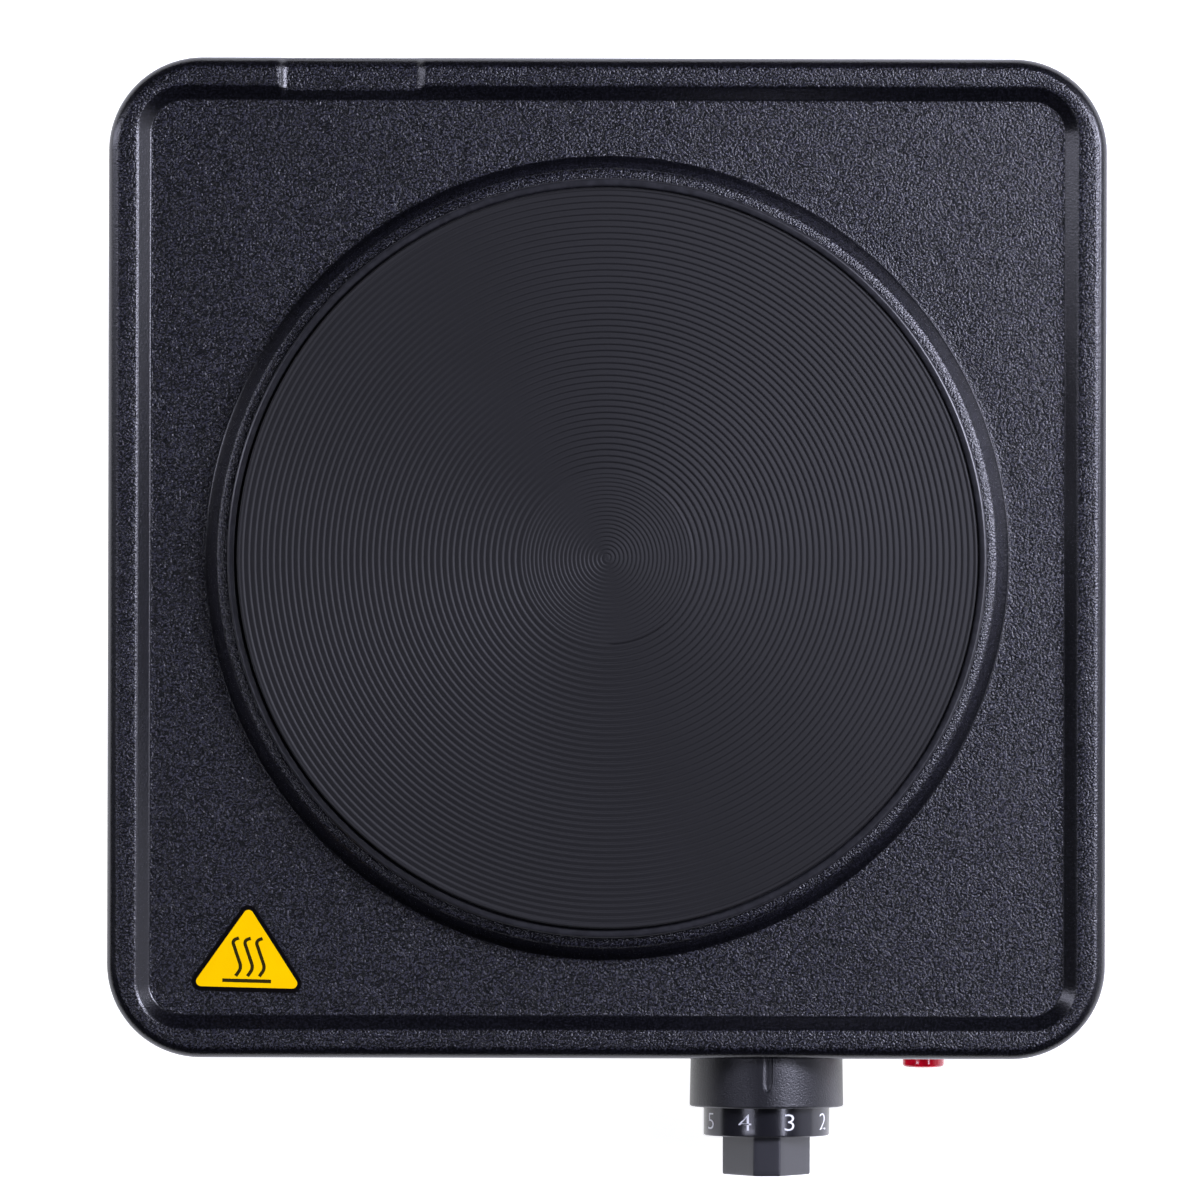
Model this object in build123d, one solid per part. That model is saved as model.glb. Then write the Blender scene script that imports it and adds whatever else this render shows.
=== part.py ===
"""Portable single hot plate: a pressed steel case, a cast-iron cooking plate, a thermostat and a lamp.

The origin is on the table, below the middle of the whole appliance. +Z is up and the control knob faces -Y.
The functions below place everything from the middle of the case, and CASE_Y moves it to the origin last.
"""

from build123d import *
from math import atan, cos, degrees, pi
import os

# Case
WIDTH = 250.0
DEPTH = 250.5
CORNER_R = 24.0
SHEET = 1.0
SKIRT_Z = 7.5
PANEL_Z = 55.0
RIM_Z = 58.0
RIM_EDGE_R = 3.0
WALL_INSET = 1.25
STEP_TOP_INSET = 7.5
STEP_FOOT_INSET = 10.75
STEP_BEND_R = 1.6
NOTCH_LEFT = -82.5
NOTCH_RIGHT = -46.0
NOTCH_SLOPE = 2.2
NOTCH_DEPTH = 1.4
GAP = 0.05

# Seat collar
COLLAR_FOOT_R = 100.4
COLLAR_TOP_R = 97.0
COLLAR_Z = 62.5
COLLAR_HOLE_R = 90.4

# Cooking plate
STUD_R = 3.0
PLATE_R = 92.4
PLATE_Z = 66.5
PLATE_EDGE_Z = 63.7
PLATE_NECK_R = 89.3
PLATE_WEB_Z = 60.5
PLATE_RIB_Z = 54.5
GROOVE_PITCH = 1.545
GROOVE_START_R = 21.5
GROOVE_DEPTH = 0.25
FINE_PITCH = 1.045
RIBS = [(STUD_R, 14.0), (38.0, 41.0), (62.0, 65.0), (85.5, 89.3)]
COIL_R = 2.0
COIL_Z = 57.8
COIL_RADII = [46.5, 56.5, 70.2, 80.2]
RING_R = 94.9

# Under the plate
COVER_Z = 53.4
BRIDGE_Z = 45.0
BRIDGE_WIDTH = 22.0
BRIDGE_REACH = 109.0
SHIELD_R = 80.0
SHIELD_Z = 36.0
TERMINAL_X = [-26.0, -10.0]
TERMINAL_Y = -74.0
TERMINAL_TIP_Z = 44.0

# Base, posts and feet
BASE_Z = 9.0
BASE_LIP = 7.0
POST_SPACING = 196.0
POST_R = 4.5
FOOT_R = 11.0
SCREW_R = 2.0
VENT_LENGTH = 34.0
VENT_WIDTH = 3.0
VENT_PITCH = 9.0

# Control knob, on an axis along Y
KNOB_X = 40.5
KNOB_Z = 33.5
COLLAR_REACH = 137.8
COLLAR_R = 19.35
COLLAR_WEB_Y = -132.8
SKIRT_REACH = 145.1
SKIRT_R = 15.85
SKIRT_REAR_Y = -133.3
GRIP_REACH = 155.0
GRIP_HALF_WIDTH = 11.1
GRIP_TOP_HALF = 3.1
GRIP_HALF_HEIGHT = 13.0
SPINDLE_R = 3.0
SPINDLE_FLAT = 0.8
FIT = 0.05
BOSS_OFFSET = 12.0

# Thermostat, behind the front wall
BRACKET_Y = -123.1
STACK_X = 16.0
BLADE_A_Y = -112.7
BLADE_B_Y = -108.7
BIMETAL_Y = -104.7
STACK_END_Y = -101.7
BLADE = 0.5

# Pilot lamp
LAMP_X = 80.0
LENS_R = 5.2
LENS_REACH = 128.1

# Cord inlet and terminals, at the rear
INLET_X = -64.0
INLET_Z = 25.0
INLET_BORE_R = 4.0
INLET_FLANGE_R = 9.0
BLOCK_Y = 88.0
BLOCK_SIZE = (36.0, 16.0, 14.0)
BLOCK_WAYS = [-75.0, -64.0, -53.0]
BLOCK_FRONT = 80.8
EARTH_X = -20.0
EARTH_Y = 66.0
WIRE_R = 1.3
FUSE_X = -100.0
TAB_END_X = 1.8

# Sticker
LABEL_X = -90.0
LABEL_Y = -108.8
LABEL_BASE = 31.8
LABEL_HEIGHT = 23.6
LABEL_CORNER_R = 2.4
LABEL_TURN = -1.2
LABEL_THICKNESS = 0.15

WIDEST_INSET = WALL_INSET * RIM_EDGE_R / (RIM_Z - SKIRT_Z)
CASE_Y = (GRIP_REACH - DEPTH / 2 + WIDEST_INSET) / 2


def tube(outer, inner, low, high):
    """A ring of revolution about Z between two heights."""
    ring = Pos(0, 0, low) * (Circle(outer) - Circle(inner))
    return extrude(ring, amount=high - low)


def disc(radius, low, high):
    """A disc about Z between two heights."""
    return extrude(Pos(0, 0, low) * Circle(radius), amount=high - low)


def rod(radius, start, end, x=KNOB_X, z=KNOB_Z):
    """A rod along Y, from y = start to y = end."""
    face = Plane(origin=(x, start, z), z_dir=(0, 1, 0)) * Circle(radius)
    return extrude(face, amount=end - start)


def group(solids):
    """Separate solids that share one node."""
    return Compound([solid for shape in solids for solid in shape.solids()])


def block(x, y, z):
    """A box from three (low, high) pairs."""
    size = [high - low for low, high in (x, y, z)]
    middle = [(high + low) / 2 for low, high in (x, y, z)]
    return Pos(*middle) * Box(*size)


def spun(points):
    """A solid of revolution about Z from an outline in (radius, height)."""
    outline = Plane.XZ * make_face(Polyline(*points, close=True))
    return revolve(outline, Axis.Z)


def rounded_plate(inset, z):
    """The case's rounded square outline, drawn in by inset, at height z."""
    return Pos(0, 0, z) * RectangleRounded(WIDTH - 2 * inset, DEPTH - 2 * inset, CORNER_R - inset)


def case_block(inset):
    """The case as a solid block, each wall drawn in by inset, with its recessed panel and rim notch."""
    low = rounded_plate(WALL_INSET + inset, SKIRT_Z - inset)
    high = rounded_plate(inset, RIM_Z - inset)
    body = loft([low, high], ruled=True)
    body = fillet(body.faces().sort_by(Axis.Z)[-1].edges(), RIM_EDGE_R - inset)
    step = RIM_Z - PANEL_Z
    floor = rounded_plate(STEP_FOOT_INSET - inset, PANEL_Z - inset)
    slope = degrees(atan((STEP_FOOT_INSET - STEP_TOP_INSET) / step))
    body -= extrude(floor, amount=2 * step, taper=-slope)
    bends = body.edges().filter_by_position(Axis.Z, PANEL_Z - inset - 0.01, PANEL_Z - inset + 0.01)
    return fillet(bends, STEP_BEND_R + inset)


def notch_cut(inset):
    """The lowered length of the rear rim, as a cutter with sloping ends."""
    low = RIM_Z - NOTCH_DEPTH - inset
    high = RIM_Z + 1
    spread = NOTCH_SLOPE * (high - low) / NOTCH_DEPTH
    left = NOTCH_LEFT + NOTCH_SLOPE
    right = NOTCH_RIGHT - NOTCH_SLOPE
    corners = [(left, low), (right, low), (right + spread, high), (left - spread, high)]
    outline = make_face(Polyline(*[(-x, z) for x, z in corners], close=True))
    plane = Plane(origin=(0, DEPTH / 2 - STEP_FOOT_INSET, 0), x_dir=(-1, 0, 0), z_dir=(0, 1, 0))
    return extrude(plane * outline, amount=STEP_FOOT_INSET + 1)


def collar_section(inset):
    """The seat collar as a solid of revolution, drawn in by inset."""
    top = COLLAR_Z - inset
    foot = PANEL_Z - inset - 0.5
    points = [
        (0, foot),
        (COLLAR_FOOT_R - inset + 0.3, foot),
        (COLLAR_FOOT_R - inset, PANEL_Z - inset + 0.3),
        (COLLAR_TOP_R - inset + 0.5, top - 1.2),
        (COLLAR_TOP_R - inset, top - 0.35),
        (COLLAR_TOP_R - inset - 1.2, top),
        (0, top),
    ]
    return spun(points)


def front_holes():
    """The holes through the front wall: bush, two screws and lamp."""
    holes = rod(6.5, -130, -118)
    holes += rod(LENS_R - 0.6, -130, -118, LAMP_X)
    for side in (-1, 1):
        holes += rod(SCREW_R + 0.25, -130, -118, KNOB_X + side * BOSS_OFFSET)
    return holes


def top_shell():
    """Pressed steel case: walls, rounded rim, recessed panel and raised seat collar with a hole."""
    outer = case_block(0) - notch_cut(0) + collar_section(0)
    inner = case_block(SHEET) - notch_cut(SHEET) + collar_section(SHEET)
    shell = outer - inner
    shell -= disc(COLLAR_HOLE_R, PANEL_Z - 5, PLATE_Z)
    shell -= front_holes()
    return shell - rod(INLET_FLANGE_R - 2, 120, 130, INLET_X, INLET_Z)


def groove_points():
    """The turned top of the plate, from rim to middle: flat lands between V grooves."""
    points = []
    radius = PLATE_R - GROOVE_PITCH / 2
    while radius > 3 * FINE_PITCH:
        pitch = GROOVE_PITCH if radius > GROOVE_START_R else FINE_PITCH
        half = pitch / 4
        points += [(radius + half, PLATE_Z), (radius, PLATE_Z - GROOVE_DEPTH), (radius - half, PLATE_Z)]
        radius -= pitch
    return points


def hot_plate():
    """Cast-iron plate with a grooved top, a stepped edge and ribs below that hold the coils."""
    top = groove_points()
    edge = [(PLATE_R, PLATE_EDGE_Z), (PLATE_R, PLATE_Z - 0.5), (PLATE_R - 0.2, PLATE_Z - 0.1)]
    below = [(0, PLATE_WEB_Z), (PLATE_NECK_R, PLATE_WEB_Z), (PLATE_NECK_R, PLATE_EDGE_Z)]
    body = spun(below + edge + top + [(0, PLATE_Z)])
    for inner, outer in RIBS:
        body += tube(outer, inner, PLATE_RIB_Z, PLATE_WEB_Z)
    return body


def heating_coils():
    """Resistance coils, each as the ring-shaped envelope of its turns."""
    rings = [Pos(0, 0, COIL_Z) * Torus(radius, COIL_R) for radius in COIL_RADII]
    return group(rings)


def ceramic_filler():
    """Pressed ceramic that fills the two heated channels round the coils."""
    low = PLATE_RIB_Z + 0.5
    rings = []
    for (_, inner), (outer, _) in zip(RIBS[1:3], RIBS[2:4]):
        ring = tube(outer, inner, low, PLATE_WEB_Z)
        for radius in COIL_RADII:
            if inner < radius < outer:
                ring -= Pos(0, 0, COIL_Z) * Torus(radius, COIL_R)
        rings.append(ring)
    return group(rings)


def overflow_ring():
    """Thin steel ring that hugs the plate's neck, passes under its edge and ends in a rounded bead."""
    seat = COLLAR_Z + 0.1
    top = PLATE_EDGE_Z - 0.2
    bead = PLATE_Z - 1.6
    points = [
        (PLATE_NECK_R + 0.1, seat - 5),
        (PLATE_NECK_R + 0.8, seat - 5),
        (PLATE_NECK_R + 0.8, seat),
        (RING_R - 0.5, seat),
        (RING_R, seat + 0.5),
        (RING_R, bead - 0.5),
        (RING_R - 0.4, bead),
        (RING_R - 1.3, bead),
        (RING_R - 2.1, bead - 0.6),
        (RING_R - 2.1, top),
        (PLATE_NECK_R + 0.1, top),
    ]
    return spun(points)


def plate_cover():
    """Sheet cover that closes the plate's underside, with holes for its stud and terminals."""
    cover = tube(88.0, STUD_R + 0.5, COVER_Z, COVER_Z + SHEET)
    for x in TERMINAL_X:
        cover -= Pos(x, TERMINAL_Y, COVER_Z) * Cylinder(4.0, 4)
    return cover


def plate_terminals():
    """Two pins that bring the coils' ends out of the plate."""
    pins = []
    for x in TERMINAL_X:
        pin = disc(1.5, TERMINAL_TIP_Z, PLATE_RIB_Z + 0.5)
        pins.append(Pos(x, TERMINAL_Y, 0) * pin)
    return group(pins)


def terminal_beads():
    """Ceramic bead on each terminal pin."""
    beads = []
    for x in TERMINAL_X:
        bead = tube(3.4, 1.6, COVER_Z - 5, PLATE_RIB_Z + 0.3)
        beads.append(Pos(x, TERMINAL_Y, 0) * bead)
    return group(beads)


def centre_stud():
    """Threaded stud cast into the plate, which the bridge and the shield hang on."""
    stud = disc(STUD_R, SHIELD_Z - 7, PLATE_WEB_Z)
    return chamfer(stud.edges().sort_by(Axis.Z)[0], 0.6)


def clamp_bridge():
    """Cranked strip that pulls the plate down by pressing up under the panel on both sides."""
    thick = 2.0
    arm = BRIDGE_REACH
    pad = PANEL_Z - SHEET - GAP
    points = [(0, BRIDGE_Z), (93, BRIDGE_Z), (101, pad - thick), (arm, pad - thick)]
    points += [(arm, pad), (100, pad), (92, BRIDGE_Z + thick), (0, BRIDGE_Z + thick)]
    half = Plane.XZ * make_face(Polyline(*points, close=True))
    side = extrude(half, amount=BRIDGE_WIDTH / 2, both=True)
    bridge = side + mirror(side, Plane.YZ)
    return bridge - disc(STUD_R + 0.3, BRIDGE_Z - 1, BRIDGE_Z + 4)


def hex_nut(flats, low, high, bore):
    """A hexagon nut about Z with its outer corners chamfered by a cone."""
    nut = extrude(Pos(0, 0, low) * RegularPolygon(flats / 2, 6, major_radius=False), amount=high - low)
    corner = flats / 2 / cos(pi / 6)
    cone = Pos(0, 0, (low + high) / 2) * Cylinder(corner - 0.15, high - low)
    nut &= chamfer(cone.edges(), 0.5)
    return nut - disc(bore, low - 1, high + 1)


def bridge_washer():
    """Domed spring washer under the bridge nut."""
    bore = STUD_R + 0.2
    points = [(bore, 43.0), (bore + 1, 43.0), (9, 44.0), (9, 44.9), (8, 44.9), (bore, 43.9)]
    return spun(points)


def bridge_nut():
    """Nut that pulls the bridge up against the panel."""
    return hex_nut(10.0, 38.2, 42.9, STUD_R + 0.03)


def shield_nut():
    """Nut that holds the heat shield."""
    return hex_nut(10.0, SHIELD_Z - 4.8, SHIELD_Z - GAP, STUD_R + 0.03)


def heat_shield():
    """Dished sheet that keeps the plate's heat from the wiring and the base."""
    lip = SHIELD_Z + 6
    points = [
        (STUD_R + 0.3, SHIELD_Z),
        (SHIELD_R - 6, SHIELD_Z),
        (SHIELD_R, lip),
        (SHIELD_R - 1.1, lip),
        (SHIELD_R - 6.6, SHIELD_Z + 0.8),
        (STUD_R + 0.3, SHIELD_Z + 0.8),
    ]
    gap = block((TERMINAL_X[0] - 8, TERMINAL_X[1] + 8), (-90, TERMINAL_Y + 12), (SHIELD_Z - 1, lip + 1))
    return spun(points) - gap


def vent_cut(x, y):
    """One round-ended vent slot along Y, through the base plate."""
    slot = Pos(x, y, BASE_Z - 1) * Rot(0, 0, 90) * SlotOverall(VENT_LENGTH, VENT_WIDTH)
    return extrude(slot, amount=SHEET + 2)


def base_plate():
    """Base tray with an upturned lip, vent slots and holes for the feet and the earth screw."""
    inset = WALL_INSET + SHEET + 0.35
    sheet = extrude(rounded_plate(inset, BASE_Z), amount=SHEET)
    lip = rounded_plate(inset, BASE_Z) - rounded_plate(inset + SHEET, BASE_Z)
    sheet += extrude(lip, amount=BASE_LIP)
    for row in (-38, 38):
        for step in range(-4, 5):
            sheet -= vent_cut(step * VENT_PITCH, row)
    for x, y in post_places():
        sheet -= Pos(x, y, BASE_Z) * Cylinder(SCREW_R + 0.2, 6)
    sheet -= Pos(EARTH_X, EARTH_Y, BASE_Z) * Cylinder(SCREW_R + 0.1, 6)
    return sheet


def post_places():
    """The four corner posts' places, which the feet share."""
    half = POST_SPACING / 2
    return [(x, y) for x in (-half, half) for y in (-half, half)]


def at_corners(shape):
    """Four copies of a shape, one on each corner post's axis."""
    return group([Pos(x, y, 0) * shape for x, y in post_places()])


def corner_posts():
    """Tapped posts welded under the panel, which the foot screws pull the base against."""
    low = BASE_Z + SHEET + GAP
    post = tube(POST_R, SCREW_R, low, low + 14) + disc(POST_R, low + 14, PANEL_Z - SHEET - GAP)
    return at_corners(post)


def feet():
    """Rubber feet, tapered, each with a well for its screw head."""
    top = BASE_Z - GAP
    points = [(0, 0), (FOOT_R - 2.5, 0), (FOOT_R - 1.5, 0.8), (FOOT_R, top - 1.5), (FOOT_R, top), (0, top)]
    foot = spun(points) - disc(4.6, -1, 5.0) - disc(SCREW_R + 0.15, 0, BASE_Z)
    return at_corners(foot)


def foot_screws():
    """Pan-head screws through the feet and the base into the posts."""
    head = disc(4.2, 3.2, 5.0 - GAP)
    head = fillet(head.edges().sort_by(Axis.Z)[0], 1.0)
    cross = Pos(0, 0, 3.2) * (Box(5, 1, 2) + Box(1, 5, 2))
    screw = head - cross + disc(SCREW_R - 0.03, 4.9, BASE_Z + 13)
    return at_corners(screw)


def control_knob_collar():
    """Fixed bezel round the knob: a recess for the skirt, two bosses and an indicator groove."""
    taper = 0.25
    wall_y = -(DEPTH / 2 - WALL_INSET)
    rear = Plane(origin=(KNOB_X, wall_y, KNOB_Z), z_dir=(0, -1, 0)) * Circle(COLLAR_R - taper)
    front = Plane(origin=(KNOB_X, -COLLAR_REACH, KNOB_Z), z_dir=(0, -1, 0)) * Circle(COLLAR_R)
    body = loft([rear, front], ruled=True)
    body = fillet(body.edges().sort_by(Axis.Y)[0], 0.8)
    body -= rod(SKIRT_R + 0.5, -COLLAR_REACH - 1, COLLAR_WEB_Y)
    body -= rod(COLLAR_R - 2.2, COLLAR_WEB_Y + 2.5, wall_y + 5)
    body -= rod(7.0, -COLLAR_REACH - 1, wall_y + 5)
    for side in (-1, 1):
        x = KNOB_X + side * BOSS_OFFSET
        boss = rod(3.8, COLLAR_WEB_Y + 1, wall_y, x)
        body += boss - rod(SCREW_R + 0.05, COLLAR_WEB_Y + 1.2, wall_y + 1, x)
    top = KNOB_Z + COLLAR_R
    half = 1.35
    tip = -134.5
    points = [(KNOB_X - half, wall_y), (KNOB_X + half, wall_y), (KNOB_X + half, tip + 2), (KNOB_X, tip)]
    mark = make_face(Polyline(*points, (KNOB_X - half, tip + 2), close=True))
    body -= extrude(Pos(0, 0, top - 0.7) * mark, amount=2)
    return body - case_block(-GAP)


def control_knob():
    """Knob: a hollow skirt for the numbers, a long six-sided grip and a hub with a D-shaped bore."""
    wall = 2.0
    skirt = rod(SKIRT_R, SKIRT_REAR_Y, -SKIRT_REACH)
    skirt = fillet(skirt.edges().sort_by(Axis.Y)[0], 0.5)
    skirt -= rod(SKIRT_R - wall, SKIRT_REAR_Y + 1, -SKIRT_REACH + 2.5)
    skirt += rod(5.6, -SKIRT_REACH + 1, -131.0)
    wide = GRIP_HALF_WIDTH
    top = GRIP_TOP_HALF
    high = GRIP_HALF_HEIGHT
    points = [(wide, 0), (top, high), (-top, high), (-wide, 0), (-top, -high), (top, -high)]
    plane = Plane(origin=(KNOB_X, -SKIRT_REACH + 1, KNOB_Z), x_dir=(1, 0, 0), z_dir=(0, -1, 0))
    grip = extrude(plane * make_face(Polyline(*points, close=True)), amount=GRIP_REACH - SKIRT_REACH + 1)
    grip = fillet(grip.faces().sort_by(Axis.Y)[0].edges(), 0.7)
    bore = d_section(SPINDLE_R + FIT, -148.5, -130.0, SPINDLE_FLAT - FIT)
    spring_slot = block((KNOB_X - 2.2, KNOB_X + 2.2), (-144.2, -130.0), (KNOB_Z + 2.0, KNOB_Z + 3.3))
    return skirt + grip - bore - spring_slot


def d_section(radius, start, end, flat):
    """A rod along Y on the knob's axis with a flat on its upper side."""
    cut = block((KNOB_X - 5, KNOB_X + 5), (start - 1, end + 1), (KNOB_Z + radius - flat, KNOB_Z + 5))
    return rod(radius, start, end) - cut


def control_spindle():
    """Steel spindle: a D-shaped end in the knob, a plain length in the bush and a head behind it."""
    grooved = d_section(SPINDLE_R, -148.0, -130.5, SPINDLE_FLAT) + rod(SPINDLE_R, -130.5, -117.0)
    return grooved + rod(4.4, -118.1, -116.5)


def spindle_tip():
    """Ceramic bead on the spindle's inner end, which presses on the first contact blade."""
    return fillet(rod(1.6, -116.5, -113.0).edges().sort_by(Axis.Y)[-1], 0.8)


def knob_spring_clip():
    """Leaf spring that grips the spindle's flat inside the knob's hub."""
    leaf = block((KNOB_X - 2.0, KNOB_X + 2.0), (-144.0, -131.0), (KNOB_Z + 2.65, KNOB_Z + 3.05))
    return leaf + block((KNOB_X - 2.0, KNOB_X + 2.0), (-138.5, -136.5), (KNOB_Z + 2.25, KNOB_Z + 2.7))


def thermostat_bracket():
    """Steel frame that carries the bush and the stack, held by two screws behind the front wall."""
    plate = block((KNOB_X - 34, KNOB_X + 18), (BRACKET_Y, BRACKET_Y + 1.5), (KNOB_Z - 11, KNOB_Z + 11))
    plate = fillet(plate.edges().filter_by(Axis.Y), 3.0)
    plate -= rod(5.05, -130, -118)
    for side in (-1, 1):
        plate -= rod(SCREW_R + 0.2, -130, -118, KNOB_X + side * BOSS_OFFSET)
    return plate - rod(1.6, -130, -118, STACK_X)


def thermostat_bush():
    """Threaded bush that the spindle turns in."""
    bush = rod(5.0, -128.5, -118.5) + rod(7.0, BRACKET_Y + 1.5, -118.5)
    return bush - rod(SPINDLE_R + FIT, -130, -117)


def bush_nut():
    """Thin nut that clamps the bush to the bracket through the wall's hole."""
    plane = Plane(origin=(KNOB_X, -124.9, KNOB_Z), z_dir=(0, 1, 0))
    nut = extrude(plane * RegularPolygon(6.1, 6), amount=1.7)
    return nut - rod(5.05, -130, -118)


def thermostat_screws():
    """Two screws from inside, through bracket and wall, into the collar's bosses."""
    screws = []
    for side in (-1, 1):
        x = KNOB_X + side * BOSS_OFFSET
        screw = rod(SCREW_R, -130.2, -121.4, x) + rod(3.6, BRACKET_Y + 1.5 + GAP, -119.4, x)
        slot = block((x - 5, x + 5), (-120.2, -118), (KNOB_Z - 0.5, KNOB_Z + 0.5))
        screws.append(screw - slot)
    return group(screws)


def stack_insulators():
    """Ceramic washers that hold the blades apart on the rivet."""
    steps = [
        (BRACKET_Y + 1.5, BLADE_A_Y),
        (BLADE_A_Y + BLADE, BLADE_B_Y),
        (BLADE_B_Y + BLADE, BIMETAL_Y),
        (BIMETAL_Y + 1.0, STACK_END_Y),
    ]
    rings = []
    for start, end in steps:
        ring = rod(5.0, start + 0.02, end - 0.02, STACK_X)
        rings.append(ring - rod(1.6, start - 1, end + 1, STACK_X))
    return group(rings)


def stack_rivet():
    """Rivet through the bracket, the washers and the blades."""
    rivet = rod(1.5, BRACKET_Y + 0.2, STACK_END_Y + 0.5, STACK_X)
    return rivet + rod(3.2, STACK_END_Y + 0.02, STACK_END_Y + 1.2, STACK_X)


def blade(y, tail_z, thick):
    """One leaf of the stack, from its terminal tab at the left to past the spindle's axis."""
    leaf = block((STACK_X - 5, KNOB_X + 9), (y, y + thick), (KNOB_Z - 4, KNOB_Z + 4))
    tab = block((STACK_X - 14, STACK_X - 4.5), (y, y + thick), (tail_z - 3.1, tail_z + 3.1))
    return leaf + tab - rod(1.6, y - 1, y + 2, STACK_X)


def contact_blades():
    """Two springy contact blades with their terminal tabs."""
    return group([blade(BLADE_A_Y, KNOB_Z + 2, BLADE), blade(BLADE_B_Y, KNOB_Z - 2, BLADE)])


def contact_points():
    """Silver contacts, one riveted to each blade, a small gap apart when off."""
    x = KNOB_X + 6
    first = rod(2.0, BLADE_A_Y + BLADE, BLADE_A_Y + BLADE + 1.5, x)
    second = rod(2.0, BLADE_B_Y - 1.5, BLADE_B_Y, x)
    return group([first, second])


def bimetal_strip():
    """Bimetal leaf that bends as it warms."""
    leaf = block((STACK_X - 5, KNOB_X + 9), (BIMETAL_Y, BIMETAL_Y + 1.0), (KNOB_Z - 5, KNOB_Z + 5))
    return leaf - rod(1.6, BIMETAL_Y - 1, BIMETAL_Y + 2, STACK_X)


def bimetal_pin():
    """Ceramic pin between the bimetal leaf and the second blade."""
    return rod(1.2, BLADE_B_Y + BLADE, BIMETAL_Y)


def lamp_lens():
    """Translucent red lens: a domed button outside the wall and a stem through it."""
    wall_y = -(DEPTH / 2 - WALL_INSET)
    button = rod(LENS_R, -LENS_REACH, wall_y, LAMP_X)
    button = fillet(button.edges().sort_by(Axis.Y)[0], 1.4) - case_block(-GAP)
    stem = rod(LENS_R - 0.8, -LENS_REACH + 1.5, -121.0, LAMP_X)
    return button + stem - rod(LENS_R - 1.8, -LENS_REACH + 2.2, -120.0, LAMP_X)


def lamp_clip():
    """Spring ring that holds the lens behind the wall."""
    return rod(6.6, -123.2, -122.4, LAMP_X) - rod(LENS_R - 0.75, -124, -122, LAMP_X)


def lamp_body():
    """Lamp holder, a closed tube behind the lens."""
    body = rod(LENS_R - 0.6, -120.9, -104.0, LAMP_X)
    return body - rod(LENS_R - 1.8, -122, -107.0, LAMP_X)


def lamp_bulb():
    """Neon bulb inside the lamp holder."""
    bulb = rod(2.2, -119.0, -107.2, LAMP_X)
    return fillet(bulb.edges().sort_by(Axis.Y)[0], 2.0)


def cord_bush():
    """Inlet bush in the rear wall: a thin flange, a sleeve through the wall and a bore for the cord."""
    flange = rod(INLET_FLANGE_R, 120, 125.1, INLET_X, INLET_Z) - case_block(-GAP)
    sleeve = rod(INLET_FLANGE_R - 2.2, 115, 125.1, INLET_X, INLET_Z)
    ring = rod(INLET_FLANGE_R, 120.4, 122.6, INLET_X, INLET_Z)
    return flange + sleeve + ring - rod(INLET_BORE_R, 110, 130, INLET_X, INLET_Z)


def terminal_block():
    """Three-way block on the base, with a wire hole and a screw hole for each way."""
    width, depth, height = BLOCK_SIZE
    low = BASE_Z + SHEET + GAP
    body = Pos(INLET_X, BLOCK_Y, low + height / 2) * Box(width, depth, height)
    body = fillet(body.edges().filter_by(Axis.Z), 2.0)
    for x in BLOCK_WAYS:
        body -= rod(2.2, BLOCK_Y - 10, BLOCK_Y + 10, x, low + 6)
        body -= Pos(x, BLOCK_Y - 4, low + 11) * Cylinder(2.3, 8)
        body -= Pos(x, BLOCK_Y + 4, low + 11) * Cylinder(2.3, 8)
    return body


def terminal_sleeves():
    """Brass sleeve in each way of the terminal block."""
    low = BASE_Z + SHEET + GAP
    sleeves = []
    for x in BLOCK_WAYS:
        sleeve = rod(2.15, BLOCK_Y - 7, BLOCK_Y + 7, x, low + 6)
        sleeves.append(sleeve - rod(1.5, BLOCK_Y - 8, BLOCK_Y + 8, x, low + 6))
    return group(sleeves)


def terminal_screws():
    """Clamping screws, two to each way."""
    low = BASE_Z + SHEET + GAP
    screws = []
    for x in BLOCK_WAYS:
        for side in (-4, 4):
            screw = disc(2.1, low + 8.3, low + 12.0) - Pos(0, 0, low + 12) * Box(6, 0.7, 1.4)
            screws.append(Pos(x, BLOCK_Y + side, 0) * screw)
    return group(screws)


def earth_screw():
    """Earth screw up through the base."""
    screw = disc(SCREW_R, BASE_Z - 0.5, BASE_Z + 10) + disc(3.8, BASE_Z - 2, BASE_Z - GAP)
    return Pos(EARTH_X, EARTH_Y, 0) * screw


def earth_nut():
    """Nut that clamps the earth lead to the base."""
    low = BASE_Z + SHEET + 2.8
    return Pos(EARTH_X, EARTH_Y, 0) * hex_nut(7.0, low, low + 3.2, SCREW_R + 0.03)


def wire(points, bend=6.0, radius=WIRE_R):
    """An inner lead: straight runs joined by tangent arcs."""
    path = FilletPolyline(*points, radius=bend)
    section = Plane(origin=path @ 0, z_dir=path % 0) * Circle(radius)
    return sweep(section, path=path)


def wire_z():
    """Height of the terminal block's wire holes."""
    return BASE_Z + SHEET + GAP + 6


def live_lead():
    """From the block to the thermal fuse and on to the second blade's tab."""
    z = wire_z()
    way = BLOCK_WAYS[0]
    tab_y = BLADE_B_Y + BLADE / 2
    tab_z = KNOB_Z - 2
    first = wire([(way, BLOCK_FRONT, z), (way, 40, z), (FUSE_X, 10, z), (FUSE_X, -30, z)])
    bends = [(FUSE_X, -80, z), (-40, -92, z), (-20, tab_y, tab_z)]
    second = wire([(FUSE_X, -45, z), *bends, (TAB_END_X, tab_y, tab_z)])
    return group([first, second])


def thermal_fuse():
    """Cylindrical thermal fuse in the live lead."""
    fuse = Pos(FUSE_X, -37.5, wire_z()) * Rot(90, 0, 0) * Cylinder(2.2, 14.8)
    return fillet(fuse.edges(), 0.8)


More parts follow.
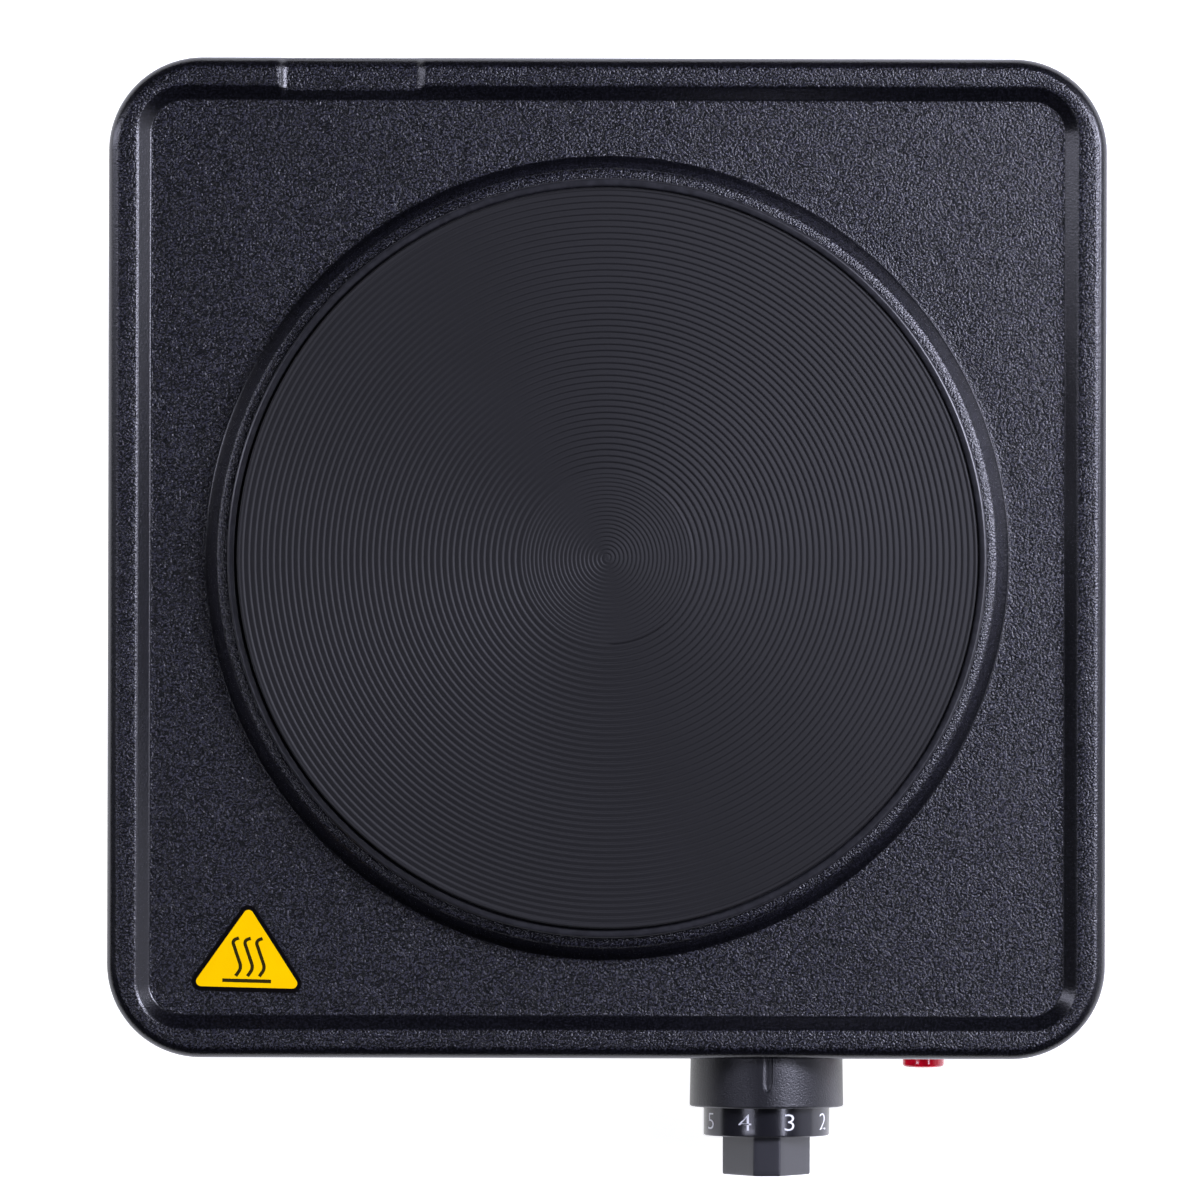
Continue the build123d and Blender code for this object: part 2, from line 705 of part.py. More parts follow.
def neutral_lead():
    """From the block to the plate's first terminal."""
    z = wire_z()
    way = BLOCK_WAYS[1]
    pin = TERMINAL_X[0]
    bends = [(way, 20, z), (-88, -20, z), (-88, TERMINAL_Y, z), (pin, TERMINAL_Y, z + 2)]
    return wire([(way, BLOCK_FRONT, z), *bends, (pin, TERMINAL_Y, TERMINAL_TIP_Z - 0.1)])


def switched_lead():
    """From the first blade's tab to the plate's second terminal."""
    tab_y = BLADE_A_Y + BLADE / 2
    tab_z = KNOB_Z + 2
    pin = TERMINAL_X[1]
    bends = [(pin - 2, tab_y, tab_z), (pin - 2, -96, tab_z), (pin, TERMINAL_Y, tab_z - 4.5)]
    return wire([(TAB_END_X, tab_y, tab_z), *bends, (pin, TERMINAL_Y, TERMINAL_TIP_Z - 0.1)], bend=3.0)


def earth_lead():
    """From the block to the earth screw, ending in a ring terminal."""
    z = wire_z()
    way = BLOCK_WAYS[2]
    eye_z = BASE_Z + SHEET + 1.0
    bends = [(way, 70, z), (way + 13, EARTH_Y, eye_z + 1.8)]
    lead = wire([(way, BLOCK_FRONT, z), *bends, (EARTH_X - 4.2, EARTH_Y, eye_z + 1.8)], bend=3.0)
    eye = Pos(EARTH_X, EARTH_Y, 0) * tube(4.6, SCREW_R + 0.1, eye_z, eye_z + 1.6)
    return lead + eye


def lamp_leads():
    """Two thin leads from the lamp: one to the first blade's tab, one to the plate's first terminal."""
    start = -103.9
    left = LAMP_X - 2
    right = LAMP_X + 2
    tab_z = KNOB_Z + 3
    tab = (6, BLADE_A_Y + BLADE + 0.1, tab_z)
    pin_x = TERMINAL_X[0]
    pin = (pin_x, TERMINAL_Y - 1.6, 46)
    first = [(left, start, KNOB_Z), (left, -94, KNOB_Z), (60, -90, 42), (6, -90, 42), (6, -98, tab_z), tab]
    second = [(right, start, KNOB_Z), (right, -90, KNOB_Z), (66, -86, 46), (pin_x, -86, 46), pin]
    return group([wire(first, bend=3.0, radius=0.8), wire(second, bend=3.0, radius=0.8)])


def heat_label():
    """Thin triangular sticker with rounded corners on the panel."""
    half = LABEL_BASE / 2
    face = make_face(Polyline((-half, 0), (half, 0), (0, LABEL_HEIGHT), close=True))
    face = fillet(face.vertices(), LABEL_CORNER_R)
    place = Pos(LABEL_X, LABEL_Y, PANEL_Z + 0.02) * Rot(0, 0, LABEL_TURN)
    return extrude(place * face, amount=LABEL_THICKNESS)


NODES = {
    "top_shell": top_shell,
    "base_plate": base_plate,
    "corner_posts": corner_posts,
    "feet": feet,
    "foot_screws": foot_screws,
    "hot_plate": hot_plate,
    "overflow_ring": overflow_ring,
    "heating_coils": heating_coils,
    "ceramic_filler": ceramic_filler,
    "plate_cover": plate_cover,
    "plate_terminals": plate_terminals,
    "terminal_beads": terminal_beads,
    "centre_stud": centre_stud,
    "clamp_bridge": clamp_bridge,
    "bridge_washer": bridge_washer,
    "bridge_nut": bridge_nut,
    "heat_shield": heat_shield,
    "shield_nut": shield_nut,
    "knob_collar": control_knob_collar,
    "control_knob": control_knob,
    "knob_spring_clip": knob_spring_clip,
    "control_spindle": control_spindle,
    "spindle_tip": spindle_tip,
    "thermostat_bracket": thermostat_bracket,
    "thermostat_bush": thermostat_bush,
    "bush_nut": bush_nut,
    "thermostat_screws": thermostat_screws,
    "stack_insulators": stack_insulators,
    "stack_rivet": stack_rivet,
    "contact_blades": contact_blades,
    "contact_points": contact_points,
    "bimetal_strip": bimetal_strip,
    "bimetal_pin": bimetal_pin,
    "lamp_lens": lamp_lens,
    "lamp_clip": lamp_clip,
    "lamp_body": lamp_body,
    "lamp_bulb": lamp_bulb,
    "cord_bush": cord_bush,
    "terminal_block": terminal_block,
    "terminal_sleeves": terminal_sleeves,
    "terminal_screws": terminal_screws,
    "earth_screw": earth_screw,
    "earth_nut": earth_nut,
    "live_lead": live_lead,
    "thermal_fuse": thermal_fuse,
    "neutral_lead": neutral_lead,
    "switched_lead": switched_lead,
    "earth_lead": earth_lead,
    "lamp_leads": lamp_leads,
    "heat_label": heat_label,
}

os.makedirs("parts", exist_ok=True)
for name, make in NODES.items():
    shape = Pos(0, CASE_Y, 0) * make()
    print(name, len(shape.solids()), round(shape.volume))
    export_step(shape, f"parts/{name}.step")
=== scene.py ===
"""Portable hot plate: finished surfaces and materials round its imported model.

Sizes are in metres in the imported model's frame: +Z up, the control knob on -Y, the origin on the table.
"""

import math

import bmesh
import bpy
import numpy as np
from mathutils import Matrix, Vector
from bpy.props import FloatProperty, FloatVectorProperty, IntProperty, PointerProperty
from bpy.types import Operator, Panel, PropertyGroup


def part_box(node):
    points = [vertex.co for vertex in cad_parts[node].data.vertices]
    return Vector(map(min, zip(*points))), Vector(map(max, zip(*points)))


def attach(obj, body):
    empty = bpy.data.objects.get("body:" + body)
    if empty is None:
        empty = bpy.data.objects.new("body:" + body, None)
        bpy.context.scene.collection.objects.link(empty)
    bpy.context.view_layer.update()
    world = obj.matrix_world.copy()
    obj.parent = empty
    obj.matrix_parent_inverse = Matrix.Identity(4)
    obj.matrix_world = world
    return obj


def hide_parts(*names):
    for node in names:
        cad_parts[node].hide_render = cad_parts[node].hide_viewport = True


bl_info = {
    "name": "Hot Plate Finisher",
    "version": (1, 0, 0),
    "blender": (4, 5, 0),
    "location": "View3D > Sidebar > Hot Plate",
    "description": "Makes the visible surfaces and finishes of a portable hot plate",
    "category": "Object",
}

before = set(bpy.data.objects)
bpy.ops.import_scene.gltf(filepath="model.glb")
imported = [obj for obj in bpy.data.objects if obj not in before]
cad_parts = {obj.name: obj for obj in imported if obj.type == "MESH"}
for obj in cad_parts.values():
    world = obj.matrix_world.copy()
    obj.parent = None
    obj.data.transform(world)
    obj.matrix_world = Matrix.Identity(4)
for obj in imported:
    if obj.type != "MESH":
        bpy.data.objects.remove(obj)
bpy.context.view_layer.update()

MM = 0.001
SHELL_LOW, SHELL_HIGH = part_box("top_shell")
PLATE_LOW, PLATE_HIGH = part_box("hot_plate")
RING_LOW, RING_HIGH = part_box("overflow_ring")
COLLAR_LOW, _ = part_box("knob_collar")
KNOB_LOW, KNOB_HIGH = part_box("control_knob")
LENS_LOW, LENS_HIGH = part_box("lamp_lens")
LABEL_LOW, LABEL_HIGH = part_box("heat_label")
BUSH_LOW, BUSH_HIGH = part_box("cord_bush")
PLATE_X = (PLATE_LOW.x + PLATE_HIGH.x) / 2
PLATE_Y = (PLATE_LOW.y + PLATE_HIGH.y) / 2
KNOB_X = (KNOB_LOW.x + KNOB_HIGH.x) / 2
KNOB_Z = (KNOB_LOW.z + KNOB_HIGH.z) / 2
LENS_X = (LENS_LOW.x + LENS_HIGH.x) / 2
LENS_Z = (LENS_LOW.z + LENS_HIGH.z) / 2
CASE_Y = PLATE_Y
CREST_Z = SHELL_HIGH.z
SKIRT_Z = SHELL_LOW.z
RIM_Z = CREST_Z - 4.5 * MM
PANEL_Z = RIM_Z - 3.0 * MM
DRAW_IN = 1.25 * MM
SHEET = 1.0 * MM
WALL_SLOPE = DRAW_IN / (RIM_Z - SKIRT_Z)
HALF_X = SHELL_HIGH.x + WALL_SLOPE * 3 * MM
HALF_Y = SHELL_HIGH.y - CASE_Y + WALL_SLOPE * 3 * MM
CROWN_INSET = 4.4 * MM
PANEL_INSET = 13.0 * MM
SCREW_OFFSET = 12 * MM
GRIP_LENGTH = 9.9 * MM
PLATE_NECK = 89.3 * MM
PLATE_RIBS = ((85.5 * MM, 65.0 * MM), (62.0 * MM, 41.0 * MM), (38.0 * MM, 14.0 * MM))
STUD_HOLE = 3.0 * MM
DIGITS = 7
CAP_HEIGHT = 0.70
THINNING = -0.012
WIDENING = 1.25
CAMERA_ROLL = math.radians(0.15)
LIGHT_COLOUR = (0.79, 0.80, 1.0)
DARK_WALL, PALE_WALL = (0.012, 0.012, 0.014, 1), (0.95, 0.96, 1.15, 1)
WALL_START, WALL_FULL = 0.72, 0.97

# Each light's place from the case's middle on the floor, its size and its watts.
LIGHTS = (
    ("soft_right", (0.68, 0.28, 0.80), (0.30, 0.71), 20.5),
    ("soft_knob", (0.53, -0.13, 0.86), (0.40, 0.10), 1.7),
    ("strip_left", (-0.56, -0.24, 0.96), (0.045, 0.36), 1.2),
    ("card_left", (-1.05, 0.30, 0.52), (0.22, 0.95), 5.5),
)

# The heat mark: one wavy line as rounded corners, and the bar below the three, from the sticker's base.
MARK_LINE = (
    (0.74 * MM, 12.35 * MM, 0),
    (-0.95 * MM, 11.75 * MM, 1.0 * MM),
    (1.55 * MM, 4.90 * MM, 2.2 * MM),
    (0.16 * MM, 2.85 * MM, 0),
)
MARK_PITCH = 2.95 * MM
MARK_WIDTH = 0.85 * MM
BAR_HALF = 6.1 * MM
BAR_Y = 1.70 * MM
BAR_WIDTH = 0.9 * MM


# Sizes and colours that a user would change

def length(name, text, default):
    """A distance property in metres."""
    kind = {"unit": "LENGTH", "subtype": "DISTANCE", "precision": 5}
    return FloatProperty(name=name, description=text, default=default, **kind)


def colour(name, text, default):
    """A linear RGB colour property."""
    kind = {"size": 3, "min": 0, "max": 1, "subtype": "COLOR"}
    return FloatVectorProperty(name=name, description=text, default=default, **kind)


def rotation(name, text, default):
    """An angle property in radians."""
    return FloatProperty(name=name, description=text, default=default, unit="ROTATION", subtype="ANGLE")


class HotPlateCase(PropertyGroup):
    """Sizes of the pressed case."""

    corner: length("Corner radius", "Outer radius of the case's corners", 23.5 * MM)
    inner_corner: length("Inner corner", "From the outline to the centre of the step's corner", 19.0 * MM)
    edge: length("Edge radius", "Rounding of the rim's outer edge", 3.2 * MM)
    crown: length("Crown radius", "Radius of the rim's slightly domed top", 22 * MM)
    step_top: length("Step top", "Distance from the outline to the top of the step", 7.45 * MM)
    step_foot: length("Step foot", "Distance from the outline to the foot of the step", 10.7 * MM)
    step_bend: length("Step bend", "Bend radius at the top and foot of the step", 1.5 * MM)
    collar_foot: length("Collar foot", "Radius of the seat collar where it leaves the panel", 100.4 * MM)
    collar_top: length("Collar top", "Radius of the seat collar's outer edge", 97.3 * MM)
    collar_hole: length("Collar hole", "Radius of the hole that the plate hangs in", 90.4 * MM)
    notch_left: length("Notch left", "Left end of the lowered length of the rear rim", -83.0 * MM)
    notch_right: length("Notch right", "Right end of the lowered length of the rear rim", -45.4 * MM)
    notch_slope: length("Notch slope", "Width of the slope at each end of the notch", 2.9 * MM)
    notch_depth: length("Notch depth", "Depth of the notch below the rim", 1.5 * MM)
    enamel: colour("Case colour", "Colour of the powder coat", (0.020, 0.020, 0.029))


class HotPlatePlate(PropertyGroup):
    """Sizes of the turned cooking plate and the ring round it."""

    pitch: length("Groove pitch", "Distance between two turns of the spiral groove", 1.545 * MM)
    fine_pitch: length("Inner pitch", "Distance between two turns near the middle", 1.045 * MM)
    fine_radius: length("Inner radius", "Radius where the finer turning ends", 21.5 * MM)
    depth: length("Groove depth", "Depth of the turned groove", 0.20 * MM)
    columns: IntProperty(
        name="Columns",
        description="Facets round the plate",
        default=200,
        min=32,
        max=400,
    )
    iron: colour("Iron colour", "Colour of the coated cast iron", (0.0045, 0.0043, 0.0050))


class HotPlateKnob(PropertyGroup):
    """Sizes of the knob's fixed collar, skirt, grip and numbers."""

    collar: length("Collar radius", "Outer radius of the fixed collar", 19.35 * MM)
    skirt: length("Skirt radius", "Outer radius of the numbered skirt", 15.85 * MM)
    grip_width: length("Grip half width", "Distance from the axis to the grip's side corners", 11.1 * MM)
    grip_top: length("Grip top facet", "Half the width of the grip's narrow facets", 3.3 * MM)
    grip_height: length("Grip half height", "Distance from the axis to the narrow facets", 13.0 * MM)
    digit: length("Number height", "Height of the numbers on the skirt", 4.3 * MM)
    digit_step: rotation("Number step", "Angle between two numbers on the skirt", math.radians(41.5))
    shown: FloatProperty(
        name="Number shown",
        description="Reading under the mark at rest",
        default=3.5,
        min=0,
        max=6,
    )
    plastic: colour("Knob colour", "Colour of the moulded knob", (0.018, 0.018, 0.022))


class HotPlateSigns(PropertyGroup):
    """Sizes and colours of the pilot lamp and the sticker."""

    lens: length("Lens radius", "Radius of the pilot lamp's lens", 5.2 * MM)
    red: colour("Lens colour", "Colour of the lens", (0.55, 0.002, 0.022))
    field_base: length("Sticker base", "Width of the yellow field with sharp corners", 27.7 * MM)
    field_height: length("Sticker height", "Height of the yellow field with sharp corners", 20.5 * MM)
    border: length("Sticker border", "Width of the dark border", 1.1 * MM)
    turn: rotation("Sticker turn", "How far the sticker is turned from square", math.radians(-1.4))
    yellow: colour("Sticker colour", "Colour of the sticker's field", (1.0, 0.585, 0.0))


class HotPlateStage(PropertyGroup):
    """Camera, lights and floor."""

    distance: length("Camera height", "Height of the camera above the case's rim", 3.2)
    view: length("View width", "Width seen at the rim's height", 0.300)
    camera_x: length("Camera X", "Camera's place across", -1.75 * MM)
    camera_y: length("Camera Y", "Camera's place from the case's middle", -10.45 * MM)
    floor: colour("Floor colour", "Colour of the floor", (0.93, 0.93, 0.93))


GROUPS = {
    "hot_plate_case": HotPlateCase,
    "hot_plate_plate": HotPlatePlate,
    "hot_plate_knob": HotPlateKnob,
    "hot_plate_signs": HotPlateSigns,
    "hot_plate_stage": HotPlateStage,
}


# Curves and surfaces

def unit(vector):
    """The vectors at unit length."""
    return vector / np.linalg.norm(vector, axis=-1, keepdims=True)


def smooth(value):
    """Cubic ease from 0 to 1: three times the square less twice the cube of the clamped value."""
    value = np.clip(value, 0, 1)
    return value * value * (3 - 2 * value)


def rounded_path(corners, turn_step):
    """A line in a plane with round corners. Each corner is (x, y, radius).

    The arc's centre lies on the corner's bisector, and its points turn evenly between the tangents.
    """
    points = [np.array([corners[0][:2]])]
    for before, corner, after in zip(corners, corners[1:], corners[2:]):
        here = np.array(corner[:2])
        back = unit(np.array(before[:2]) - here)
        ahead = unit(np.array(after[:2]) - here)
        half = math.acos(np.clip(back @ ahead, -1, 1)) / 2
        if corner[2] == 0:
            points.append(here[None])
            continue
        centre = here + unit(back + ahead) * corner[2] / math.sin(half)
        first = unit(here + back * corner[2] / math.tan(half) - centre)
        last = unit(here + ahead * corner[2] / math.tan(half) - centre)
        side = unit(last - first * (first @ last))
        sweep = math.pi - 2 * half
        angle = np.linspace(0, sweep, max(3, math.ceil(sweep / turn_step) + 1))[:, None]
        points.append(centre + corner[2] * (np.cos(angle) * first + np.sin(angle) * side))
    points.append(np.array([corners[-1][:2]]))
    return np.concatenate(points)


def filled(path, longest):
    """The path with straight stretches divided, so that no step is longer than a given length."""
    steps = np.linalg.norm(np.diff(path, axis=0), axis=1)
    counts = np.maximum(1, np.ceil(steps / longest).astype(int))
    parts = [a + (b - a) * (np.arange(n) / n)[:, None] for a, b, n in zip(path, path[1:], counts)]
    return np.concatenate([*parts, path[-1:]])


def offset(path, distance):
    """The path moved sideways to its right, along the mean normal at each point."""
    along = np.gradient(path, axis=0)
    normal = unit(np.stack([-along[:, 1], along[:, 0]], axis=1))
    return path - distance * normal


def polygon_columns(corners, radius, corner_steps, sides):
    """Columns of a convex outline with round corners, anticlockwise.

    A point of the outline drawn in by d is anchor + (radius - d) * normal. Along a side the anchor moves
    and the normal stands still, and round a corner the anchor is the arc's centre and the normal turns.
    sides holds, for each side, where its columns stand, from 0 at its start up to 1.
    """
    corners = np.array(corners, float)
    ahead = unit(np.roll(corners, -1, axis=0) - corners)
    normals = np.stack([ahead[:, 1], -ahead[:, 0]], axis=1)
    before = np.roll(normals, 1, axis=0)
    centres = corners - radius * (before + normals) / (1 + np.sum(before * normals, axis=1, keepdims=True))
    anchors, outward = [], []
    for index, places in enumerate(sides):
        following = (index + 1) % len(corners)
        start, end = centres[index], centres[following]
        anchors.append(start + np.asarray(places)[:, None] * (end - start))
        outward.append(np.repeat(normals[index][None], len(places), axis=0))
        turn = math.acos(np.clip(normals[index] @ normals[following], -1, 1))
        first = math.atan2(normals[index][1], normals[index][0])
        angle = first + turn * np.arange(corner_steps) / corner_steps
        anchors.append(np.repeat(end[None], corner_steps, axis=0))
        outward.append(np.stack([np.cos(angle), np.sin(angle)], axis=1))
    return np.concatenate(anchors), np.concatenate(outward)


def turned_z(profile, columns, x, y):
    """Surface of revolution about an upright axis.

    A profile's (radius, height) becomes (x + r cos a, y + r sin a, height).
    """
    angle = full_turn(columns)
    radius = profile[:, :1]
    across = x + radius * np.cos(angle)
    along = y + radius * np.sin(angle)
    return np.stack([across, along, np.broadcast_to(profile[:, 1:], across.shape)], axis=2)


def turned_y(profile, angle, x, z):
    """Surface of revolution about an axis along Y.

    A profile's (radius, y) becomes (x + r sin a, y, z + r cos a).
    """
    radius = profile[:, :1]
    across = x + radius * np.sin(angle)
    up = z + radius * np.cos(angle)
    return np.stack([across, np.broadcast_to(profile[:, 1:], across.shape), up], axis=2)


def full_turn(columns):
    """Even angles round a whole turn."""
    return np.arange(columns) * 2 * math.pi / columns


def grid_faces(rows, columns, wrap_rows, wrap_columns):
    """Four-cornered faces between neighbouring rows and columns of a grid."""
    row = np.arange(rows if wrap_rows else rows - 1)
    column = np.arange(columns if wrap_columns else columns - 1)
    row, column = np.meshgrid(row, column, indexing="ij")
    next_row = (row + 1) % rows
    next_column = (column + 1) % columns
    corners = [row * columns + column, row * columns + next_column]
    corners += [next_row * columns + next_column, next_row * columns + column]
    return np.stack(corners, axis=-1).reshape(-1, 4)


def make_piece(name, grids, sharp=math.radians(40), faces=None):
    """One object from grids of points, each (points, wrap_rows, wrap_columns), joined where they meet."""
    points, quads, start = [], [], 0
    for grid, wrap_rows, wrap_columns in grids:
        rows, columns = grid.shape[:2]
        points.append(grid.reshape(-1, 3))
        found = grid_faces(rows, columns, wrap_rows, wrap_columns) if faces is None else faces
        quads.append(found + start)
        start += rows * columns
        faces = None
    mesh = bpy.data.meshes.new(name)
    mesh.from_pydata(np.concatenate(points), [], np.concatenate(quads))
    tidy_mesh(mesh, sharp)
    piece = bpy.data.objects.new(name, mesh)
    bpy.context.scene.collection.objects.link(piece)
    return piece


def tidy_mesh(mesh, sharp):
    """Merges doubles, drops empty faces, turns faces outwards and shades them smooth up to an angle."""
    work = bmesh.new()
    work.from_mesh(mesh)
    bmesh.ops.remove_doubles(work, verts=work.verts, dist=2e-7)
    bmesh.ops.dissolve_degenerate(work, edges=work.edges, dist=1e-8)
    bmesh.ops.recalc_face_normals(work, faces=work.faces)
    work.to_mesh(mesh)
    work.free()
    mesh.polygons.foreach_set("use_smooth", np.ones(len(mesh.polygons), bool))
    mesh.set_sharp_from_angle(angle=sharp)
    mesh.update()


def finish_piece(piece, body, slot, material, *nodes):
    """Gives a piece its material and its body and hides the nodes that it stands for. The slot is not
    used.
    """
    piece.data.materials.clear()
    piece.data.materials.append(material)
    if nodes:
        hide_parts(*nodes)
    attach(piece, body)


def finish_nodes(material, *names):
    """Gives CAD nodes a material in place of their plain one."""
    for name in names:
        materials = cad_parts[name].data.materials
        if not materials:
            materials.append(material)
        for index in range(len(materials)):
            materials[index] = material


def cut(piece, tool):
    """Cuts one closed mesh out of another and removes the tool."""
    modifier = piece.modifiers.new("cut", "BOOLEAN")
    modifier.operation = "DIFFERENCE"
    modifier.solver = "EXACT"
    modifier.object = tool
    graph = bpy.context.evaluated_depsgraph_get()
    mesh = bpy.data.meshes.new_from_object(piece.evaluated_get(graph))
    piece.modifiers.clear()
    old = piece.data
    piece.data = mesh
    bpy.data.meshes.remove(old)
    mesh.name = piece.name
    mesh.polygons.foreach_set("use_smooth", np.ones(len(mesh.polygons), bool))
    mesh.set_sharp_from_angle(angle=math.radians(40))
    bpy.data.objects.remove(tool)


# Materials

class Value:
    """A socket inside a material. Arithmetic on it adds the matching Math nodes."""

    def __init__(self, finish, socket):
        self.finish = finish
        self.socket = socket

    def math(self, operation, *operands):
        """One Math node."""
        return self.finish.node("ShaderNodeMath", {"operation": operation}, dict(enumerate(operands)))

    def __add__(self, other):
        return self.math("ADD", self, other)

    def __radd__(self, other):
        return self.math("ADD", other, self)

    def __rsub__(self, other):
        return self.math("SUBTRACT", other, self)

    def __mul__(self, other):
        return self.math("MULTIPLY", self, other)

    def __rmul__(self, other):
        return self.math("MULTIPLY", other, self)

    def band(self, low, high):
        """0 below low, 1 above high, smooth between."""
        settings = {"interpolation_type": "SMOOTHSTEP"}
        values = {0: self, 1: low, 2: high, 3: 0.0, 4: 1.0}
        return self.finish.node("ShaderNodeMapRange", settings, values)


class Finish:
    """A material in the making: a Principled shader and the nodes that feed it."""

    def __init__(self, name, **constants):
        self.material = bpy.data.materials.get(name) or bpy.data.materials.new(name)
        self.material.use_nodes = True
        self.tree = self.material.node_tree
        self.tree.nodes.clear()
        self.shader = self.tree.nodes.new("ShaderNodeBsdfPrincipled")
        output = self.tree.nodes.new("ShaderNodeOutputMaterial")
        self.tree.links.new(self.shader.outputs[0], output.inputs[0])
        self.place = self.node("ShaderNodeTexCoord", output="Object")
        self.feed(**constants)

    def node(self, kind, settings=None, values=None, output=0):
        """Adds a node: first its settings, then its values or links, by socket name or number."""
        new = self.tree.nodes.new(kind)
        for key, setting in (settings or {}).items():
            setattr(new, key, setting)
        for key, value in (values or {}).items():
            self.join(value, new.inputs[key])
        return Value(self, new.outputs[output])

    def join(self, value, socket):
        """Links a Value to a socket, or sets the socket."""
        if isinstance(value, Value):
            self.tree.links.new(value.socket, socket)
        else:
            socket.default_value = value

    def feed(self, **sockets):
        """Sets or links the shader's sockets: base_color means Base Color."""
        names = {"ior": "IOR", "specular": "Specular IOR Level", "transmission": "Transmission Weight"}
        for key, value in sockets.items():
            name = names.get(key, key.replace("_", " ").title())
            if isinstance(value, tuple) and len(value) == 3:
                value = (*value, 1.0)
            self.join(value, self.shader.inputs[name])

    def noise(self, size, detail=2.0, roughness=0.5, place=None):
        """Noise whose lumps are about size across."""
        values = {"Vector": place or self.place, "Scale": 1 / size}
        values.update({"Detail": detail, "Roughness": roughness})
        return self.node("ShaderNodeTexNoise", {"noise_dimensions": "3D"}, values)

    def cells(self, size, feature="F1", output="Distance"):
        """Voronoi cells about size across."""
        values = {"Vector": self.place, "Scale": 1 / size}
        return self.node("ShaderNodeTexVoronoi", {"feature": feature}, values, output)

    def stretched(self, x, y, z):
        """The object's coordinates scaled along each axis."""
        return self.node("ShaderNodeMapping", None, {"Vector": self.place, "Scale": (x, y, z)})

    def axis(self, number):
        """One of the object's coordinates: 0 across, 1 along, 2 up."""
        return self.node("ShaderNodeSeparateXYZ", None, {0: self.place}, number)

    def blend(self, mask, first, second):
        """A colour between two, by a mask from 0 to 1."""
        first, second = ((*c, 1.0) if isinstance(c, tuple) else c for c in (first, second))
        return self.node("ShaderNodeMix", {"data_type": "RGBA"}, {0: mask, 6: first, 7: second}, 2)

    def bump(self, height, depth):
        """Feeds the Normal with a bump of the given depth in metres."""
        values = {"Strength": 1.0, "Distance": depth, "Height": height}
        self.feed(normal=self.node("ShaderNodeBump", None, values))


def shade(tint, factor):
    """A colour made lighter or darker."""
    return tuple(min(1.0, part * factor) for part in tint)


def powder_coat(sizes):
    """Black powder coat: hard grains over dark pits, drawn smooth where the sheet is pressed to a slope.
    Its colour holds painted glints on the raised grains and painted shade in the pits.

    Heights between the panel and the rim are slopes, except on the notch's floor behind the rear step.
    """
    tint = tuple(sizes.enamel)
    finish = Finish("case_enamel", specular=0.5)
    x, y, height = (finish.axis(number) for number in range(3))
    drawn = height.band(PANEL_Z + 0.01 * MM, PANEL_Z + 0.14 * MM)
    drawn = drawn * (1 - height.band(RIM_Z - 0.30 * MM, RIM_Z - 0.06 * MM))
    left, right, rear = sizes.notch_left, sizes.notch_right, SHELL_HIGH.y
    notch = x.band(left + 1.5 * MM, left + 3.0 * MM) * (1 - x.band(right - 2.6 * MM, right - 1.1 * MM))
    notch = notch * y.band(rear - 8.6 * MM, rear - 8.2 * MM)
    notch = notch * (1 - y.band(rear - 2.4 * MM, rear - 1.2 * MM))
    drawn = drawn * (1 - notch)
    grain = finish.noise(0.48 * MM, 1.0, 0.55)
    fine = finish.noise(0.30 * MM, 1.0, 0.5)
    peel = finish.noise(3.2 * MM, 1.0, 0.4)
    relief = grain * 0.75 + fine * 0.20 + peel * 0.10
    finish.bump(relief * (1 - 0.78 * drawn), 0.24 * MM)
    drift = finish.noise(60 * MM, 2.0, 0.5).band(0.35, 0.65)
    # Painted glints and shade: raised grains keep the coat colour and pits go near black, standing in for
    # highlights and shade.
    grain_glint_tint = finish.blend(drift, shade(tint, 0.9), shade(tint, 1.1))
    painted_glint_mask = (grain * 0.7 + fine * 0.3).band(0.47, 0.62) * (1 - 0.7 * drawn)
    finish.feed(base_color=finish.blend(painted_glint_mask, shade(tint, 0.08), grain_glint_tint), roughness=0.20 + 0.10 * fine)
    return finish.material


def baked_iron(tint):
    """Turned and coated cast iron: pores, a fine film and slight heat tint in bands."""
    finish = Finish("cast_iron", specular=0.31)
    pores = finish.cells(0.9 * MM).band(0.06, 0.22)
    film = finish.noise(0.35 * MM, 3.0, 0.6)
    drift = finish.noise(38 * MM, 3.0, 0.55).band(0.3, 0.7)
    base = finish.blend(drift, shade(tint, 0.88), shade(tint, 1.12))
    base = finish.blend(film.band(0.62, 0.78), base, shade(tint, 1.5))
    finish.feed(base_color=base, roughness=0.50 + 0.16 * film)
    finish.bump(film * 0.6 + pores * 0.4, 0.035 * MM)
    return finish.material


def ring_enamel():
    """Smooth heat-proof enamel with faint brush ripples."""
    finish = Finish("ring_enamel", specular=0.5)
    ripple = finish.noise(1.6 * MM, 2.0, 0.5)
    mist = finish.noise(0.25 * MM, 2.0, 0.5)
    tint = finish.blend(ripple.band(0.35, 0.7), (0.010, 0.010, 0.012), (0.018, 0.018, 0.021))
    finish.feed(base_color=tint, roughness=0.26 + 0.10 * mist)
    finish.bump(ripple * 0.7 + mist * 0.3, 0.012 * MM)
    return finish.material


def moulded_plastic(name, tint, grain, depth, rough):
    """Spark-eroded moulded plastic: an even fine grain and a slight flow mark."""
    finish = Finish(name, specular=0.5)
    spark = finish.noise(grain, 2.0, 0.6)
    flow = finish.noise(14 * MM, 2.0, 0.5, finish.stretched(1, 0.3, 1)).band(0.3, 0.7)
    finish.feed(base_color=finish.blend(flow, shade(tint, 0.9), shade(tint, 1.12)))
    finish.feed(roughness=rough + 0.14 * spark)
    finish.bump(spark, depth)
    return finish.material


def red_lens(tint):
    """Translucent red lens with a faint inner glow."""
    finish = Finish("red_lens", transmission=0.35, ior=1.49, specular=0.6, emission_strength=0.25)
    cloud = finish.noise(1.8 * MM, 2.0, 0.5)
    base = finish.blend(cloud.band(0.3, 0.7), shade(tint, 0.75), shade(tint, 1.2))
    finish.feed(base_color=base, emission_color=base, roughness=0.10 + 0.08 * cloud)
    finish.bump(cloud, 0.02 * MM)
    return finish.material


